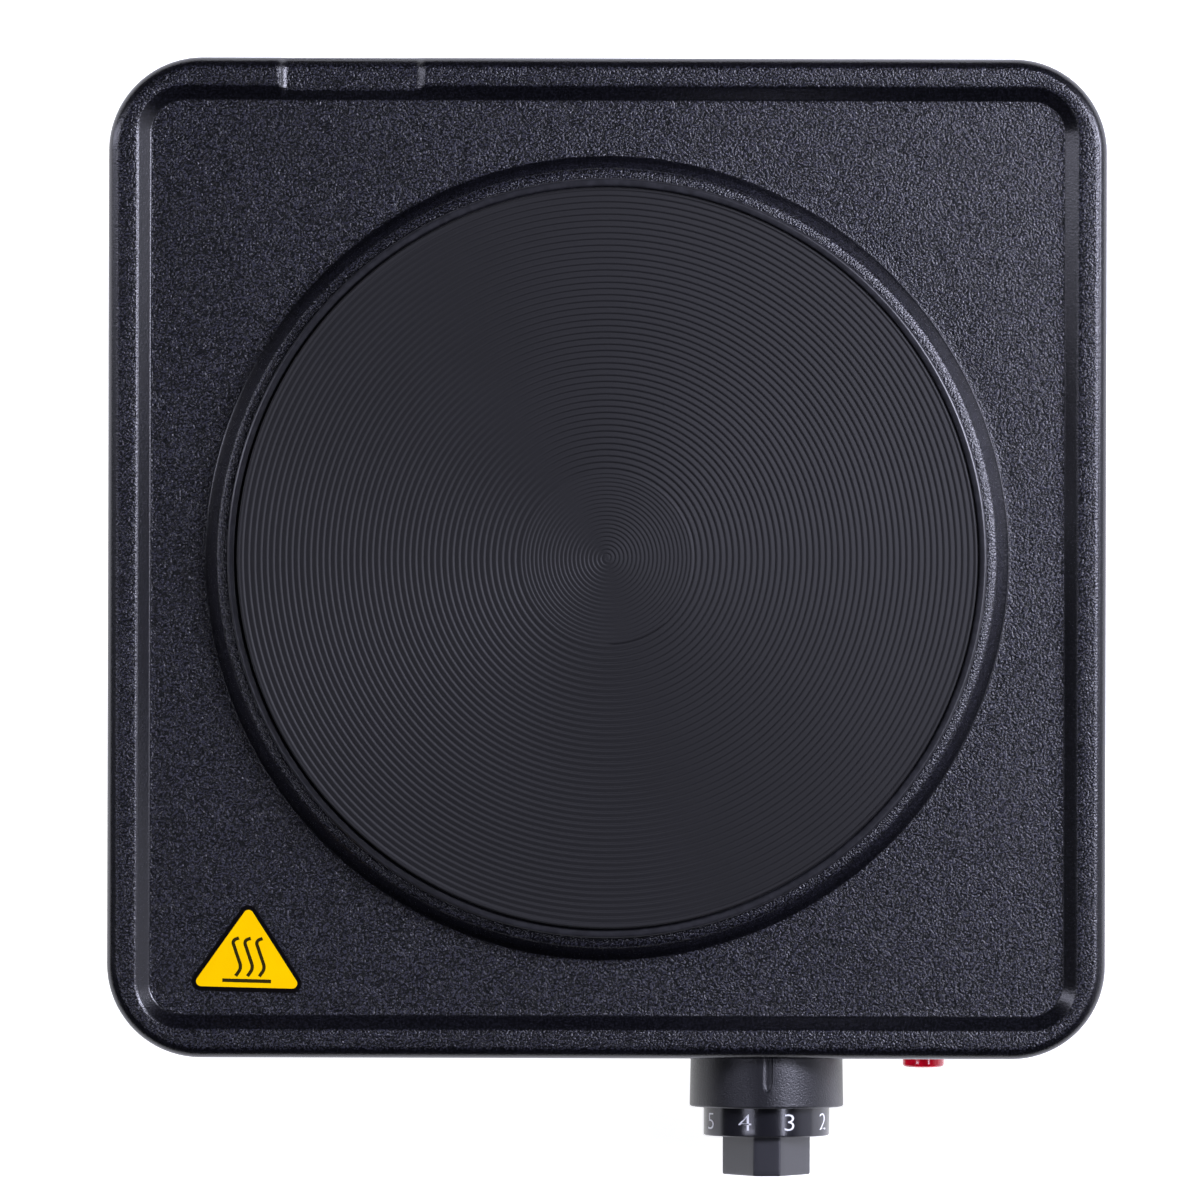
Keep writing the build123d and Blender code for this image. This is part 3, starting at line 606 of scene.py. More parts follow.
def sheet_zinc(name, tint, size):
    """Galvanised sheet: crystal spangle in several greys with fine rolling lines."""
    finish = Finish(name, metallic=1.0)
    spangle = finish.cells(size, output="Color")
    level = finish.node("ShaderNodeSeparateColor", None, {0: spangle})
    lines = finish.noise(0.5 * MM, 2.0, 0.5, finish.stretched(0.05, 1, 1))
    base = finish.blend(level, shade(tint, 0.78), shade(tint, 1.12))
    finish.feed(base_color=base, roughness=0.34 + 0.16 * level + 0.08 * lines)
    finish.bump(lines * 0.6 + level * 0.2, 0.012 * MM)
    return finish.material


def worked_metal(name, tint, rough, grain=0.4 * MM, stretch=(1, 0.08, 1)):
    """Bright worked metal: tool lines along one way, small scratches and a little tarnish."""
    finish = Finish(name, metallic=1.0)
    lines = finish.noise(grain, 3.0, 0.6, finish.stretched(*stretch))
    tarnish = finish.noise(5 * MM, 3.0, 0.55).band(0.35, 0.75)
    finish.feed(base_color=finish.blend(tarnish, tint, shade(tint, 0.72)))
    finish.feed(roughness=rough + 0.12 * lines + 0.08 * tarnish)
    finish.bump(lines, 0.010 * MM)
    return finish.material


def fired_ceramic(name, tint):
    """Unglazed fired ceramic: chalky grain with small dark specks."""
    finish = Finish(name, specular=0.3)
    grain = finish.noise(0.5 * MM, 4.0, 0.6)
    specks = finish.cells(1.4 * MM).band(0.05, 0.12)
    base = finish.blend(grain, shade(tint, 0.86), tint)
    finish.feed(base_color=finish.blend(specks, shade(tint, 0.55), base), roughness=0.72 + 0.14 * grain)
    finish.bump(grain, 0.04 * MM)
    return finish.material


def foot_rubber():
    """Black rubber with a matt bloom and fine dust."""
    finish = Finish("foot_rubber", specular=0.3)
    bloom = finish.noise(3 * MM, 3.0, 0.6)
    grain = finish.noise(0.4 * MM, 2.0, 0.5)
    base = finish.blend(bloom.band(0.4, 0.75), (0.016, 0.016, 0.017), (0.040, 0.039, 0.038))
    finish.feed(base_color=base, roughness=0.72 + 0.16 * grain)
    finish.bump(grain, 0.05 * MM)
    return finish.material


def woven_sleeve(name, tint, tracer):
    """Woven glass-fibre sleeve: crossing yarns with a tracer colour in some of them, and painted shade
    between the yarns.
    """
    finish = Finish(name, specular=0.25, sheen_weight=0.3)
    yarn = finish.cells(0.45 * MM, "SMOOTH_F1")
    bright = finish.noise(1.2 * MM, 2.0, 0.6).band(0.52, 0.6)
    base = finish.blend(bright, tint, tracer)
    # Painted shade: the colour darkens where the bump is low, in the hollows between the yarns.
    base = finish.blend(yarn.band(0.1, 0.5), base, shade(tint, 0.45))
    finish.feed(base_color=base, roughness=0.78 + 0.1 * yarn)
    finish.bump(1 - yarn, 0.12 * MM)
    return finish.material


def printed_film(name, tint):
    """Printed plastic film: even ink with slight mottling under a glossy face."""
    finish = Finish(name, specular=0.30)
    mottle = finish.noise(0.6 * MM, 2.0, 0.5)
    drift = finish.noise(9 * MM, 2.0, 0.5).band(0.3, 0.7)
    base = finish.blend(drift, shade(tint, 0.96), shade(tint, 1.03))
    finish.feed(base_color=base, roughness=0.09 + 0.10 * mottle)
    finish.bump(mottle, 0.002 * MM)
    return finish.material


def clear_glass():
    """Thin lamp glass with slight waviness."""
    finish = Finish("bulb_glass", transmission=0.9, ior=1.5, base_color=(0.95, 0.90, 0.86))
    wave = finish.noise(2 * MM, 1.0, 0.5)
    finish.feed(roughness=0.03 + 0.05 * wave)
    finish.bump(wave, 0.02 * MM)
    return finish.material


# Pieces

def case_profile(sizes):
    """Outer line of the pressed sheet.

    First (inset, height) from the skirt to the panel, then (-radius, height) over the collar.
    """
    top = RIM_Z + 0.05 * MM
    border = [
        (DRAW_IN, SKIRT_Z, 0),
        (0.0, RIM_Z - 0.2 * MM, sizes.edge),
        (CROWN_INSET, top, sizes.crown),
        (sizes.step_top, RIM_Z - 0.15 * MM, sizes.step_bend),
        (sizes.step_foot, PANEL_Z, sizes.step_bend),
        (PANEL_INSET, PANEL_Z, 0),
    ]
    collar = [
        (-sizes.collar_foot - 2.4 * MM, PANEL_Z, 0),
        (-sizes.collar_foot, PANEL_Z, 1.0 * MM),
        (-sizes.collar_top, CREST_Z - 0.35 * MM, 1.3 * MM),
        (-sizes.collar_top + 1.9 * MM, CREST_Z + 0.02 * MM, 5.0 * MM),
        (-sizes.collar_hole, CREST_Z - 0.25 * MM, 0),
    ]
    border = filled(rounded_path(border, math.radians(9)), 8 * MM)
    return border, filled(rounded_path(collar, math.radians(10)), 2.5 * MM)


def notch_places(sizes, corner):
    """Where the rear side's columns stand: even ones, and close ones at the two slopes of the notch.

    The side is longer where its corners are tighter, and only the columns near the ends move to suit.
    """
    reach = HALF_X - sizes.corner
    even = np.linspace(reach, -reach, 64, endpoint=False)
    slope = sizes.notch_slope
    ends = [sizes.notch_right, sizes.notch_left + slope]
    close = [np.linspace(end + 0.5 * MM, end - slope - 0.5 * MM, 15) for end in ends]
    across = np.unique(np.concatenate([even, *close]))[::-1]
    still = -sizes.notch_left + 2 * MM
    share = np.clip((np.abs(across) - still) / (reach - still), 0, 1)
    across = across + np.sign(across) * share**2 * (sizes.corner - corner)
    reach = HALF_X - corner
    return (reach - across) / (2 * reach)


def notch_drop(sizes, x, inset, z, sheet):
    """How far the notch lowers each point: the edge sinks whole, and inside the crown it is cut level."""
    slope = sizes.notch_slope
    share = smooth((x - sizes.notch_left) / slope) * smooth((sizes.notch_right - x) / slope)
    sunk = sizes.notch_depth * share * smooth((z - (RIM_Z - 14 * MM)) / (9 * MM))
    level = RIM_Z - sheet - sizes.notch_depth * share
    soft = 0.3 * MM
    over = z - level
    shaved = np.where(over > soft, over, np.where(over > -soft, (over + soft) ** 2 / (4 * soft), 0))
    return np.where(inset < CROWN_INSET, sunk, np.where(share > 0, shaved * smooth(share * 4), 0))


def case_surface(sizes):
    """The pressed sheet as one closed surface.

    The profile is carried round the case's outline. The panel blends from the rounded square to the
    collar's circle in a straight line for each column, and the sheet's underside is the same profile
    moved inwards.
    """
    places = np.arange(60) / 60
    corners = [(HALF_X, -HALF_Y), (HALF_X, HALF_Y), (-HALF_X, HALF_Y), (-HALF_X, -HALF_Y)]
    columns = []
    for corner in (sizes.corner, sizes.inner_corner):
        sides = [places, notch_places(sizes, corner), places, places]
        columns.append(polygon_columns(corners, corner, 20, sides))
    (outer, normals), (inner, _) = columns
    border, collar = case_profile(sizes)
    rows = []
    for thickness in (0.0, SHEET):
        edge = offset(border, thickness)
        inset, height = edge[:, :1], edge[:, 1:]
        share = smooth((border[:, :1] - 2.5 * MM) / (4.5 * MM))[:, :, None]
        centre = sizes.corner + share * (sizes.inner_corner - sizes.corner)
        anchors = outer[None] * (1 - share) + inner[None] * share
        across = anchors + (centre - inset[:, :, None]) * normals[None]
        z = np.broadcast_to(height, across.shape[:2])
        rear = (across[:, :, 1] > HALF_Y - sizes.corner) & (normals[None, :, 1] > 0.999)
        drop = notch_drop(sizes, across[:, :, 0], np.broadcast_to(border[:, :1], z.shape), z, thickness)
        border_rows = np.concatenate([across, (z - np.where(rear, drop, 0))[:, :, None]], axis=2)
        seat = offset(collar, thickness)
        ray = unit(across[-1])
        circle = -seat[:, 0][:, None, None] * ray[None]
        level = np.broadcast_to(seat[:, 1][:, None, None], (*circle.shape[:2], 1))
        collar_rows = np.concatenate([circle, level], axis=2)
        share = (np.arange(1, 6) / 6)[:, None, None]
        panel_rows = border_rows[-1:] * (1 - share) + collar_rows[:1] * share
        side = np.concatenate([border_rows, panel_rows, collar_rows])
        rows.append(side if thickness == 0 else side[::-1])
    surface = np.concatenate(rows)
    surface[:, :, 1] += CASE_Y
    return surface


def drill(holes):
    """Closed cylinders along Y that cut the wall's holes: each is (x, z, radius, from y, to y)."""
    grids = []
    for x, z, radius, start, end in holes:
        profile = np.array([(0, start), (radius, start), (radius, end), (0, end)])
        grids.append((turned_y(profile, full_turn(48), x, z), False, True))
    return make_piece("drill", grids)


def groove_surface(sizes):
    """The turned top: a saw-toothed cut that follows a spiral.

    Each row of points keeps its place in the tooth while its radius grows by one pitch a turn, so the last
    column of a row meets the first column of the row one tooth further out.
    """
    phase = np.array([0.0, 0.24, 0.50, 0.70, 0.82, 0.92])
    tooth = np.array([0.0, 0.26, 0.58, 0.90, 1.0, 0.55])
    edge = (PLATE_HIGH.x - PLATE_LOW.x) / 2 - 0.45 * MM
    inner_turns = sizes.fine_radius / sizes.fine_pitch
    turns = math.ceil(inner_turns + (edge - sizes.fine_radius) / sizes.pitch) + 2
    columns = sizes.columns
    turn = np.arange(-1, turns)[:, None] + phase[None]
    turn = turn.reshape(-1, 1) + np.arange(columns)[None] / columns
    inner = turn * sizes.fine_pitch
    outer = sizes.fine_radius + (turn - inner_turns) * sizes.pitch
    radius = np.clip(np.where(turn < inner_turns, inner, outer), 0, edge)
    depth = sizes.depth * np.where(turn < inner_turns, 0.50, 1.0) * smooth((edge - radius) / (0.4 * MM))
    depth = depth * smooth(radius / (1.5 * MM))
    height = PLATE_HIGH.z - depth * np.tile(tooth, turns + 1)[:, None]
    angle = full_turn(columns)[None]
    grid = np.stack([PLATE_X + radius * np.cos(angle), PLATE_Y + radius * np.sin(angle), height], axis=2)
    rows = len(grid)
    index = np.arange(rows * columns).reshape(rows, columns)
    here = index[:-1, :]
    above = index[1:, :]
    step = len(phase)
    shifted = np.concatenate([index[step:, :1], np.full((step, 1), -1)])
    right = np.concatenate([index[:, 1:], shifted], axis=1)
    faces = np.stack([here, right[:-1], right[1:], above], axis=-1).reshape(-1, 4)
    return grid, faces[(faces >= 0).all(axis=1)], edge


def plate_profile(edge):
    """The plate below its turned top: rounded edge, stepped neck and the ribs that hold the coils."""
    outer = (PLATE_HIGH.x - PLATE_LOW.x) / 2
    top, low = PLATE_HIGH.z, PLATE_LOW.z
    web = low + 6 * MM
    step = top - 2.8 * MM
    line = [(edge, top, 0), (outer, top, 0.4 * MM), (outer, step, 0.25 * MM), (PLATE_NECK, step, 0)]
    line += [(PLATE_NECK, low, 0.3 * MM)]
    for start, end in PLATE_RIBS:
        line += [(start, low, 0.3 * MM), (start, web, 0.5 * MM)]
        line += [(end, web, 0.5 * MM), (end, low, 0.3 * MM)]
    line += [(STUD_HOLE, low, 0), (STUD_HOLE, web, 0), (0, web, 0)]
    return rounded_path(line, math.radians(30))


def ring_profile():
    """Thin rolled ring: a neck flange, a flat seat and a rounded bead at the outside."""
    outer = (RING_HIGH.x - RING_LOW.x) / 2
    low, top = RING_LOW.z, RING_HIGH.z
    seat = low + 5 * MM
    inner, neck = 89.4 * MM, 90.1 * MM
    line = [
        (inner, low, 0),
        (neck, low, 0),
        (neck, seat, 0.3 * MM),
        (outer - 0.35 * MM, seat, 0.4 * MM),
        (outer, seat + 0.5 * MM, 0.3 * MM),
        (outer, top, 0.75 * MM),
        (outer - 2.15 * MM, top - 0.1 * MM, 0.7 * MM),
        (outer - 2.2 * MM, seat + 0.8 * MM, 0),
        (inner, seat + 0.8 * MM, 0),
    ]
    return rounded_path(line, math.radians(15))


def wall_y(z):
    """The front wall's outer face at a height, from the case's taper."""
    return CASE_Y - (HALF_Y - WALL_SLOPE * (RIM_Z - z))


def collar_surface(sizes):
    """Fixed collar: a closed line turned about the knob's axis.

    Its back follows the sloping wall, and a pointed groove is pressed into the top: the depth across it is
    the height of a half circle, and its half width narrows towards the tip as a quarter circle does.
    """
    front, back = COLLAR_LOW.y, wall_y(KNOB_Z)
    web, seat = front + 5 * MM, front + 7.5 * MM
    outer, bore, hub, inner = sizes.collar, 16.35 * MM, 7.0 * MM, 17.1 * MM
    line = [
        (outer - 0.22 * MM, back, 0),
        (outer, front, 0.55 * MM),
        (bore, front, 0.35 * MM),
        (bore, web, 0),
        (hub, web, 0),
        (hub, seat, 0),
        (inner, seat, 0),
        (inner, back, 0),
    ]
    path = filled(rounded_path(line, math.radians(15)), 0.3 * MM)
    fine = np.linspace(-5.5, 5.5, 67)
    angle = np.radians(np.unique(np.concatenate([np.arange(-180, 180, 2.5), fine])))
    reach = np.broadcast_to(path[:, :1], (len(path), len(angle)))
    y = np.broadcast_to(path[:, 1:], reach.shape)
    across = reach * np.sin(angle)
    widest, tip, half_width, depth = front + 7.4 * MM, 3.1 * MM, 1.33 * MM, 0.62 * MM
    beyond = np.clip(widest - y, 0, None) / tip
    half = half_width * np.sqrt(np.clip(1 - beyond**2, 0, 1))
    inside = np.clip(1 - (across / np.maximum(half, 1e-9)) ** 2, 0, 1)
    inside = inside * (np.abs(angle) < 0.2) * (beyond < 1)
    groove = depth * np.sqrt(inside) * (reach > outer - 0.4 * MM)
    grid = turned_y(path, angle, KNOB_X, KNOB_Z)
    grid[:, :, 0] -= groove * np.sin(angle)
    grid[:, :, 2] -= groove * np.cos(angle)
    at_back = np.abs(y - back) < 1e-9
    grid[:, :, 1] = np.where(at_back, wall_y(grid[:, :, 2]) - 0.05 * MM, grid[:, :, 1])
    return grid


def skirt_surface(sizes):
    """Numbered skirt: a hollow cup with a hub, turned about the knob's axis."""
    rear, front = COLLAR_LOW.y + 4.5 * MM, KNOB_LOW.y + GRIP_LENGTH
    end, floor = KNOB_HIGH.y, front + 2.5 * MM
    outer, inner, hub, bore = sizes.skirt, sizes.skirt - 2 * MM, 5.6 * MM, 3.05 * MM
    line = [
        (0, front, 0),
        (outer, front, 0.45 * MM),
        (outer, rear, 0.3 * MM),
        (inner, rear, 0.2 * MM),
        (inner, floor, 0.5 * MM),
        (hub, floor, 0.5 * MM),
        (hub, end, 0.3 * MM),
        (bore, end, 0),
        (bore, front + 0.5 * MM, 0),
        (0, front + 0.5 * MM, 0),
    ]
    path = filled(rounded_path(line, math.radians(15)), 2 * MM)
    return turned_y(path, full_turn(160), KNOB_X, KNOB_Z)


def grip_surface(sizes):
    """Six-sided grip: a hexagon with soft corners carried along Y, its front edge rounded."""
    wide, narrow, high = sizes.grip_width, sizes.grip_top, sizes.grip_height
    corners = [(wide, 0), (narrow, high), (-narrow, high), (-wide, 0), (-narrow, -high), (narrow, -high)]
    radius = 0.7 * MM
    anchors, normals = polygon_columns(corners, radius, 6, [np.arange(6) / 6] * 6)
    front = KNOB_LOW.y
    back = front + GRIP_LENGTH - 0.05 * MM
    line = [(0, back, 0), (0.0, front, 0.55 * MM), (0.69 * MM, front, 0)]
    path = filled(rounded_path(line, math.radians(15)), 1.2 * MM)
    across = anchors[None] + (radius - path[:, :1])[:, :, None] * normals[None]
    face = across[-1:] * np.array([0.75, 0.5, 0.25, 0.0])[:, None, None]
    rear = across[:1] * 0.0
    across = np.concatenate([rear, across, face])
    y = np.concatenate([[back], path[:, 1], np.full(4, front)])
    y = np.broadcast_to(y[:, None], across.shape[:2])
    return np.stack([KNOB_X + across[:, :, 0], y, KNOB_Z + across[:, :, 1]], axis=2)


def number_mesh(text, height):
    """One number as a flat thin mesh about its own middle, x to the right and y up."""
    curve = bpy.data.curves.new("number", "FONT")
    curve.body = text
    curve.size = height / CAP_HEIGHT
    curve.offset = THINNING * curve.size
    curve.align_x = "CENTER"
    curve.resolution_u = 4
    curve.fill_mode = "FRONT"
    holder = bpy.data.objects.new("number", curve)
    bpy.context.scene.collection.objects.link(holder)
    graph = bpy.context.evaluated_depsgraph_get()
    mesh = bpy.data.meshes.new_from_object(holder.evaluated_get(graph))
    bpy.data.objects.remove(holder)
    bpy.data.curves.remove(curve)
    points = np.zeros(len(mesh.vertices) * 3)
    mesh.vertices.foreach_get("co", points)
    points = points.reshape(-1, 3)
    points[:, :2] -= (points[:, :2].min(0) + points[:, :2].max(0)) / 2
    points[:, 0] *= WIDENING
    faces = [list(face.vertices) for face in mesh.polygons]
    bpy.data.meshes.remove(mesh)
    return points, faces


def numbers_piece(sizes):
    """Printed numbers wrapped on the skirt: x becomes an angle and y a place along the axis."""
    points, faces, start = [], [], 0
    middle = COLLAR_LOW.y - 3.55 * MM
    for number in range(DIGITS):
        flat, found = number_mesh(str(number), sizes.digit)
        turn = (sizes.shown - number) * sizes.digit_step + flat[:, 0] / sizes.skirt
        reach = sizes.skirt + 0.03 * MM
        placed = [KNOB_X + reach * np.sin(turn), middle + flat[:, 1], KNOB_Z + reach * np.cos(turn)]
        points.append(np.stack(placed, axis=1))
        faces += [[index + start for index in face] for face in found]
        start += len(flat)
    mesh = bpy.data.meshes.new("dial_numbers")
    mesh.from_pydata(np.concatenate(points), [], faces)
    piece = bpy.data.objects.new("dial_numbers", mesh)
    bpy.context.scene.collection.objects.link(piece)
    thick = piece.modifiers.new("ink", "SOLIDIFY")
    thick.thickness = 0.04 * MM
    thick.offset = 0
    return piece


def lens_surface(sizes):
    """Domed lens button with a stem, a closed line turned about its own axis."""
    front = LENS_LOW.y
    back = wall_y(LENS_Z) - 0.08 * MM
    outer, stem, bore = sizes.lens, sizes.lens - 0.8 * MM, sizes.lens - 1.8 * MM
    line = [
        (0, front, 0),
        (3.6 * MM, front + 0.16 * MM, 8 * MM),
        (outer, front + 0.45 * MM, 0.8 * MM),
        (outer, back, 0),
        (stem, back, 0),
        (stem, LENS_HIGH.y, 0),
        (bore, LENS_HIGH.y, 0),
        (bore, front + 2.2 * MM, 0.6 * MM),
        (0, front + 1.6 * MM, 0),
    ]
    path = filled(rounded_path(line, math.radians(12)), 0.8 * MM)
    return turned_y(path, full_turn(72), LENS_X, LENS_Z)


def sticker_frame(sizes):
    """Where the sticker's base line stands, and its turn."""
    x = (LABEL_LOW.x + LABEL_HIGH.x) / 2
    y = LABEL_LOW.y + 0.28 * MM + sizes.border
    cosine, sine = math.cos(sizes.turn), math.sin(sizes.turn)
    return np.array([x, y]), np.array([[cosine, -sine], [sine, cosine]])


def triangle_surface(sizes, grow, radius, low, high):
    """A thin triangular film: a rounded outline drawn in to its middle, between two heights."""
    half, tall = sizes.field_base / 2, sizes.field_height
    slope = math.hypot(half, tall) / half
    foot = math.atan2(tall, half)
    spread_x = grow / math.tan(foot / 2)
    rise = grow * slope
    corners = [(-half - spread_x, -grow), (half + spread_x, -grow), (0, tall + rise)]
    anchors, normals = polygon_columns(corners, radius, 8, [np.arange(6) / 6] * 3)
    edge = anchors + radius * normals
    soft = anchors + (radius - 0.05 * MM) * normals
    middle = np.array([0, tall / 3])
    scales = np.array([1, 0.66, 0.33, 0])[:, None, None]
    top = middle + (soft[None] - middle) * scales
    bottom = middle + (edge[None] - middle) * scales[::-1]
    flat = np.concatenate([bottom, top])
    z = np.concatenate([np.full(4, low), np.full(4, high)])
    origin, turn = sticker_frame(sizes)
    flat = flat @ turn.T + origin
    return np.concatenate([flat, np.broadcast_to(z[:, None, None], (*flat.shape[:2], 1))], axis=2)


def ribbon(path, width, low, high, sizes):
    """A flat ribbon along a path in the sticker's plane, with four corners at each point."""
    along = np.gradient(path, axis=0)
    side = unit(np.stack([-along[:, 1], along[:, 0]], axis=1)) * width / 2
    origin, turn = sticker_frame(sizes)
    loops = []
    for shift, z in ((-1, low), (1, low), (1, high), (-1, high)):
        flat = (path + shift * side) @ turn.T + origin
        loops.append(np.concatenate([flat, np.full((len(flat), 1), z)], axis=1))
    grid = np.stack(loops, axis=1)
    start = grid[:1].mean(axis=1, keepdims=True).repeat(4, axis=1)
    end = grid[-1:].mean(axis=1, keepdims=True).repeat(4, axis=1)
    return np.concatenate([start, grid, end])


# Operators

class HotPlateOperator:
    """What every operator here shares."""

    bl_options = {"REGISTER", "UNDO"}

    def sizes(self, context, group):
        """The scene's property group of that name."""
        return getattr(context.scene, group)


class HOTPLATE_OT_case(HotPlateOperator, Operator):
    """Makes the pressed case with its rim, notch, panel and seat collar"""

    bl_idname = "hotplate.case"
    bl_label = "Case"

    def execute(self, context):
        sizes = self.sizes(context, "hot_plate_case")
        piece = make_piece("case_shell", [(case_surface(sizes), True, True)], math.radians(50))
        front, rear = CASE_Y - HALF_Y, CASE_Y + HALF_Y
        span = (front - 3 * MM, front + 6 * MM)
        holes = [(KNOB_X, KNOB_Z, 6.5 * MM, *span), (LENS_X, LENS_Z, 4.6 * MM, *span)]
        holes += [(KNOB_X + side * SCREW_OFFSET, KNOB_Z, 2.25 * MM, *span) for side in (-1, 1)]
        inlet_x, inlet_z = (BUSH_LOW.x + BUSH_HIGH.x) / 2, (BUSH_LOW.z + BUSH_HIGH.z) / 2
        holes.append((inlet_x, inlet_z, 7.0 * MM, rear - 6 * MM, rear + 3 * MM))
        cut(piece, drill(holes))
        finish_piece(piece, "case", "case_enamel", powder_coat(sizes), "top_shell")
        return {"FINISHED"}


class HOTPLATE_OT_plate(HotPlateOperator, Operator):
    """Makes the turned cast-iron plate and the ring round it"""

    bl_idname = "hotplate.plate"
    bl_label = "Plate and ring"

    def execute(self, context):
        sizes = self.sizes(context, "hot_plate_plate")
        grid, faces, edge = groove_surface(sizes)
        below = turned_z(plate_profile(edge), sizes.columns, PLATE_X, PLATE_Y)
        grids = [(grid, False, True), (below, False, True)]
        plate = make_piece("cooking_plate", grids, math.radians(60), faces)
        finish_piece(plate, "case", "cast_iron", baked_iron(tuple(sizes.iron)), "hot_plate")
        ring = make_piece("rim_ring", [(turned_z(ring_profile(), 200, PLATE_X, PLATE_Y), True, True)])
        finish_piece(ring, "case", "ring_enamel", ring_enamel(), "overflow_ring")
        return {"FINISHED"}


class HOTPLATE_OT_collar(HotPlateOperator, Operator):
    """Makes the fixed collar round the knob, with its pointed mark"""

    bl_idname = "hotplate.collar"
    bl_label = "Knob collar"

    def execute(self, context):
        sizes = self.sizes(context, "hot_plate_knob")
        grids = [(collar_surface(sizes), True, True)]
        web = COLLAR_LOW.y + 7.3 * MM
        back = wall_y(KNOB_Z - 6 * MM) - 0.1 * MM
        line = [(2.05 * MM, back), (3.8 * MM, back), (3.8 * MM, web), (2.05 * MM, web)]
        for side in (-1, 1):
            boss = turned_y(np.array(line), full_turn(32), KNOB_X + side * SCREW_OFFSET, KNOB_Z)
            grids.append((boss, True, True))
        piece = make_piece("collar_ring", grids, math.radians(50))
        plastic = moulded_plastic("collar_plastic", (0.0085, 0.0085, 0.011), 0.42 * MM, 0.10 * MM, 0.27)
        finish_piece(piece, "case", "collar_plastic", plastic, "knob_collar")
        finish_nodes(plastic, "cord_bush")
        return {"FINISHED"}


class HOTPLATE_OT_knob(HotPlateOperator, Operator):
    """Makes the turning knob: numbered skirt, six-sided grip and the numbers"""

    bl_idname = "hotplate.knob"
    bl_label = "Control knob"

    def execute(self, context):
        sizes = self.sizes(context, "hot_plate_knob")
        tint = tuple(sizes.plastic)
        skirt = make_piece("knob_skirt", [(skirt_surface(sizes), False, True)])
        gloss = moulded_plastic("knob_plastic", shade(tint, 0.7), 0.5 * MM, 0.004 * MM, 0.12)
        finish_piece(skirt, "knob", "knob_plastic", gloss, "control_knob")
        grip = make_piece("knob_grip", [(grip_surface(sizes), False, True)], math.radians(60))
        satin = moulded_plastic("grip_plastic", tint, 0.4 * MM, 0.012 * MM, 0.36)
        finish_piece(grip, "knob", "knob_plastic", satin)
        numbers = numbers_piece(sizes)
        finish_piece(numbers, "knob", "knob_plastic", printed_film("number_ink", (0.80, 0.80, 0.82)))
        return {"FINISHED"}


class HOTPLATE_OT_lamp(HotPlateOperator, Operator):
    """Makes the pilot lamp's lens and finishes the lamp behind it"""

    bl_idname = "hotplate.lamp"
    bl_label = "Pilot lamp"

    def execute(self, context):
        sizes = self.sizes(context, "hot_plate_signs")
        lens = make_piece("lens_button", [(lens_surface(sizes), False, True)])
        finish_piece(lens, "case", "red_lens", red_lens(tuple(sizes.red)), "lamp_lens")
        finish_nodes(clear_glass(), "lamp_bulb")
        return {"FINISHED"}


class HOTPLATE_OT_sticker(HotPlateOperator, Operator):
    """Makes the three-cornered sticker with its plain heat mark"""

    bl_idname = "hotplate.sticker"
    bl_label = "Sticker"

    def execute(self, context):
        sizes = self.sizes(context, "hot_plate_signs")
        floor = PANEL_Z + 0.02 * MM
        film = triangle_surface(sizes, sizes.border, 2.4 * MM, floor, floor + 0.09 * MM)
        film = make_piece("sticker_film", [(film, False, True)], math.radians(15))
        dark = printed_film("sticker_border", (0.0035, 0.0030, 0.0030))
        finish_piece(film, "case", "label_film", dark, "heat_label")
        field = triangle_surface(sizes, 0.0, 1.3 * MM, floor + 0.05 * MM, floor + 0.11 * MM)
        field = make_piece("sticker_field", [(field, False, True)], math.radians(15))
        finish_piece(field, "case", "label_film", printed_film("sticker_field", tuple(sizes.yellow)))
        low, high = floor + 0.08 * MM, floor + 0.13 * MM
        wave = filled(rounded_path(MARK_LINE, math.radians(10)), 0.8 * MM)
        grids = []
        for place in (-1, 0, 1):
            path = wave + np.array([place * MARK_PITCH, 0])
            grids.append((ribbon(path, MARK_WIDTH, low, high, sizes), False, True))
        bar = np.array([(-BAR_HALF, BAR_Y), (0.0, BAR_Y), (BAR_HALF, BAR_Y)])
        grids.append((ribbon(bar, BAR_WIDTH, low, high, sizes), False, True))
        mark = make_piece("sticker_mark", grids, math.radians(60))
        finish_piece(mark, "case", "label_film", printed_film("sticker_ink", (0.030, 0.022, 0.004)))
        return {"FINISHED"}


class HOTPLATE_OT_metal(HotPlateOperator, Operator):
    """Finishes the sheet metal, fasteners, brass and springs"""

    bl_idname = "hotplate.metal"
    bl_label = "Metal parts"

    def execute(self, context):
        zinc = sheet_zinc("zinc_steel", (0.56, 0.57, 0.58), 7 * MM)
        finish_nodes(zinc, "base_plate", "corner_posts", "plate_cover")
        finish_nodes(zinc, "clamp_bridge", "thermostat_bracket")
        aluminium = sheet_zinc("bright_aluminium", (0.80, 0.81, 0.82), 14 * MM)
        finish_nodes(aluminium, "heat_shield", "thermal_fuse")
        screw = worked_metal("screw_steel", (0.62, 0.61, 0.57), 0.28)
        finish_nodes(screw, "foot_screws", "centre_stud", "bridge_washer", "bridge_nut", "shield_nut")
        finish_nodes(screw, "thermostat_screws", "terminal_screws", "earth_screw", "earth_nut")
        spring = worked_metal("spring_steel", (0.42, 0.40, 0.36), 0.30, 0.5 * MM)
        finish_nodes(spring, "knob_spring_clip", "bimetal_strip", "lamp_clip")
        nickel = worked_metal("terminal_steel", (0.68, 0.66, 0.62), 0.22)
        finish_nodes(nickel, "plate_terminals", "control_spindle", "stack_rivet")
        brass = worked_metal("turned_brass", (0.78, 0.57, 0.24), 0.24)
        finish_nodes(brass, "thermostat_bush", "bush_nut", "contact_blades", "terminal_sleeves")
        finish_nodes(worked_metal("silver_contact", (0.86, 0.85, 0.82), 0.18), "contact_points")
        wire = worked_metal("heater_wire", (0.20, 0.18, 0.16), 0.5, 0.8 * MM, (1, 1, 1))
        finish_nodes(wire, "heating_coils")
        return {"FINISHED"}


